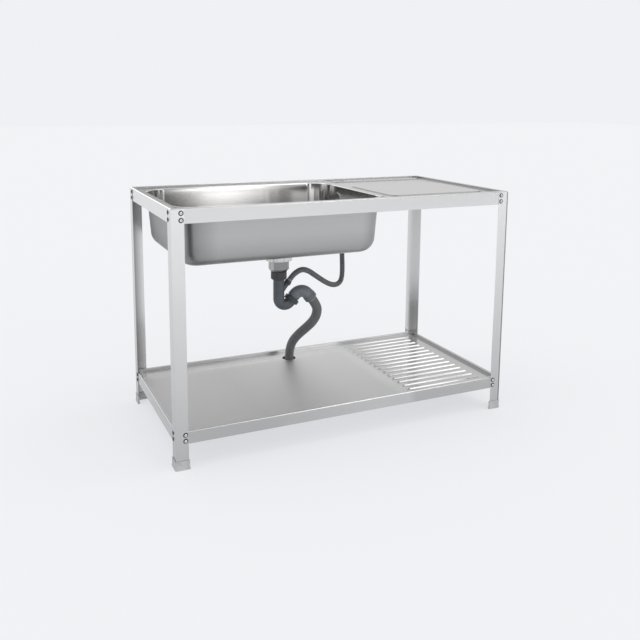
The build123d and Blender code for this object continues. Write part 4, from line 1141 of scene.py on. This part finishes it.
def studio_light(world, looks):
    """World light: pale walls with soft boxes and dark flags, each a smooth spot round one
    direction; a camera ray sees the plain backdrop."""
    tree = world.node_tree
    tree.nodes.clear()
    work, smooth = partial(maths, tree), partial(mapped, tree, curve="SMOOTHSTEP")
    way = add(tree, "ShaderNodeTexCoord").outputs["Generated"]
    height = split(tree, way)["Z"]
    level = smooth(height, looks.level, looks.zenith, sine(ZENITH_FROM), sine(ZENITH_TO))
    ahead = vectors(tree, "DOT_PRODUCT", way, Vector(FRONT_AIM).normalized())
    fore = smooth(ahead, 0.0, looks.level - looks.front, cosine(FRONT_TO), cosine(FRONT_FROM))
    under = smooth(height, 1.0, 0.0, sine(FRONT_TOP_FROM), sine(FRONT_TOP_TO))
    level = work("SUBTRACT", level, work("MULTIPLY", fore, under))
    for azimuth, elevation, inner, outer, strength in STUDIO:
        aim = (sine(azimuth) * cosine(elevation), cosine(azimuth) * cosine(elevation),
               sine(elevation))
        near = vectors(tree, "DOT_PRODUCT", way, aim)
        level = work("ADD", level, smooth(near, 0.0, strength, cosine(outer), cosine(inner)))
    lit = add(tree, "ShaderNodeBackground", {"Color": (1.0, 1.0, 1.0, 1.0), "Strength": level})
    seen = add(tree, "ShaderNodeBackground", {"Color": (*looks.backdrop, 1.0)})
    ray = add(tree, "ShaderNodeLightPath").outputs["Is Camera Ray"]
    both = add(tree, "ShaderNodeMixShader", {0: ray, 1: lit.outputs[0], 2: seen.outputs[0]})
    add(tree, "ShaderNodeOutputWorld", {"Surface": both.outputs[0]})


def paper_floor(looks):
    """Pale floor, a little of whose brightness is lit by the studio and the rest its own. It isn't
    seen from below."""
    half = FLOOR_SIZE / 2
    corners = np.array([(-half, -half, 0), (half, -half, 0), (half, half, 0), (-half, half, 0)])
    mesh = make_mesh("floor", corners, np.array([[0, 1, 2, 3]]))
    floor = bpy.data.objects.new("floor", mesh)
    bpy.context.scene.collection.objects.link(floor)
    material, tree = new_material("Floor paper")
    shader = tree.nodes[SHADER]
    feed(tree, shader, {
        "Base Color": (*shaded(looks.floor, 1 - looks.glow), 1.0), "Roughness": FLOOR_ROUGHNESS,
        "Specular IOR Level": 0.0, "Emission Color": (*looks.backdrop, 1.0),
        "Emission Strength": looks.glow})
    below = add(tree, "ShaderNodeNewGeometry").outputs["Backfacing"]
    clear = add(tree, "ShaderNodeBsdfTransparent")
    both = add(tree, "ShaderNodeMixShader", {0: below, 1: shader.outputs[0], 2: clear.outputs[0]})
    feed(tree, tree.nodes["Material Output"], {"Surface": both.outputs[0]})
    mesh.materials.append(material)


def photo_camera():
    """Camera at the photograph's viewing angle: it looks along its yaw and pitch, with its across
    and up turned by its roll."""
    camera = bpy.data.objects.new("camera", bpy.data.cameras.new("camera"))
    bpy.context.scene.collection.objects.link(camera)
    camera.data.sensor_fit = "HORIZONTAL"
    camera.data.sensor_width, camera.data.lens = CAMERA_SENSOR, CAMERA_LENS
    camera.data.shift_y = CAMERA_SHIFT
    yaw, pitch = CAMERA_YAW, CAMERA_PITCH
    ahead = Vector((math.sin(yaw) * math.cos(pitch), math.cos(yaw) * math.cos(pitch),
                    -math.sin(pitch)))
    level = Vector((math.cos(yaw), -math.sin(yaw), 0))
    up = level.cross(ahead)
    across = math.cos(CAMERA_ROLL) * level - math.sin(CAMERA_ROLL) * up
    upright = math.sin(CAMERA_ROLL) * level + math.cos(CAMERA_ROLL) * up
    turn = Matrix((across, upright, -ahead)).transposed()
    camera.matrix_world = Matrix.Translation(CAMERA_PLACE) @ turn.to_4x4()
    return camera


class SINK_OT_stage(bpy.types.Operator):
    """Set the pale floor, the soft studio light and the camera"""
    bl_idname = "sink.stage"
    bl_label = "Stage"

    def execute(self, context):
        looks = context.scene.sink_stage
        paper_floor(looks)
        world = bpy.data.worlds.new("Studio")
        world.use_nodes = True
        context.scene.world = world
        studio_light(world, looks)
        context.scene.camera = photo_camera()
        context.scene.view_settings.view_transform = "Standard"
        return {"FINISHED"}


# ---------------------------------------------------------------- add-on

class SINK_PT_panel(bpy.types.Panel):
    """Sizes, colours and steps of the sink unit"""
    bl_idname = "SINK_PT_panel"
    bl_label = "Sink unit"
    bl_space_type = "VIEW_3D"
    bl_region_type = "UI"
    bl_category = "Sink unit"

    def draw(self, context):
        for name in SETTINGS:
            held = getattr(context.scene, name)
            box = self.layout.box()
            for key in held.__annotations__:
                box.prop(held, key)
        for operator in STEPS:
            self.layout.operator(operator.bl_idname)


SETTINGS = {"sink_sheets": SheetSizes, "sink_press": PressSizes, "sink_bowl": BowlSizes,
            "sink_hoses": HoseSizes, "sink_steel": SteelLooks, "sink_plastics": PlasticLooks,
            "sink_stage": StageLooks}
STEPS = [SINK_OT_worktop, SINK_OT_bowl, SINK_OT_shelf, SINK_OT_frame, SINK_OT_strainer,
         SINK_OT_trap, SINK_OT_hoses, SINK_OT_stage]


def register():
    for group in (*SETTINGS.values(), *STEPS, SINK_PT_panel):
        bpy.utils.register_class(group)
    for name, group in SETTINGS.items():
        setattr(bpy.types.Scene, name, PointerProperty(type=group))


def unregister():
    for name in SETTINGS:
        delattr(bpy.types.Scene, name)
    for group in (SINK_PT_panel, *STEPS, *SETTINGS.values()):
        bpy.utils.unregister_class(group)


def main():
    register()
    GROUPS.update(grain=rolling_grain(), clouds=satin_clouds(), skin=moulded_skin(),
                  seats=screw_seats(), step=step_shade())
    bpy.ops.sink.worktop()
    bpy.ops.sink.bowl()
    bpy.ops.sink.shelf()
    bpy.ops.sink.frame()
    bpy.ops.sink.strainer()
    bpy.ops.sink.trap()
    bpy.ops.sink.hoses()
    bpy.ops.sink.stage()


if __name__ == "__main__":
    main()
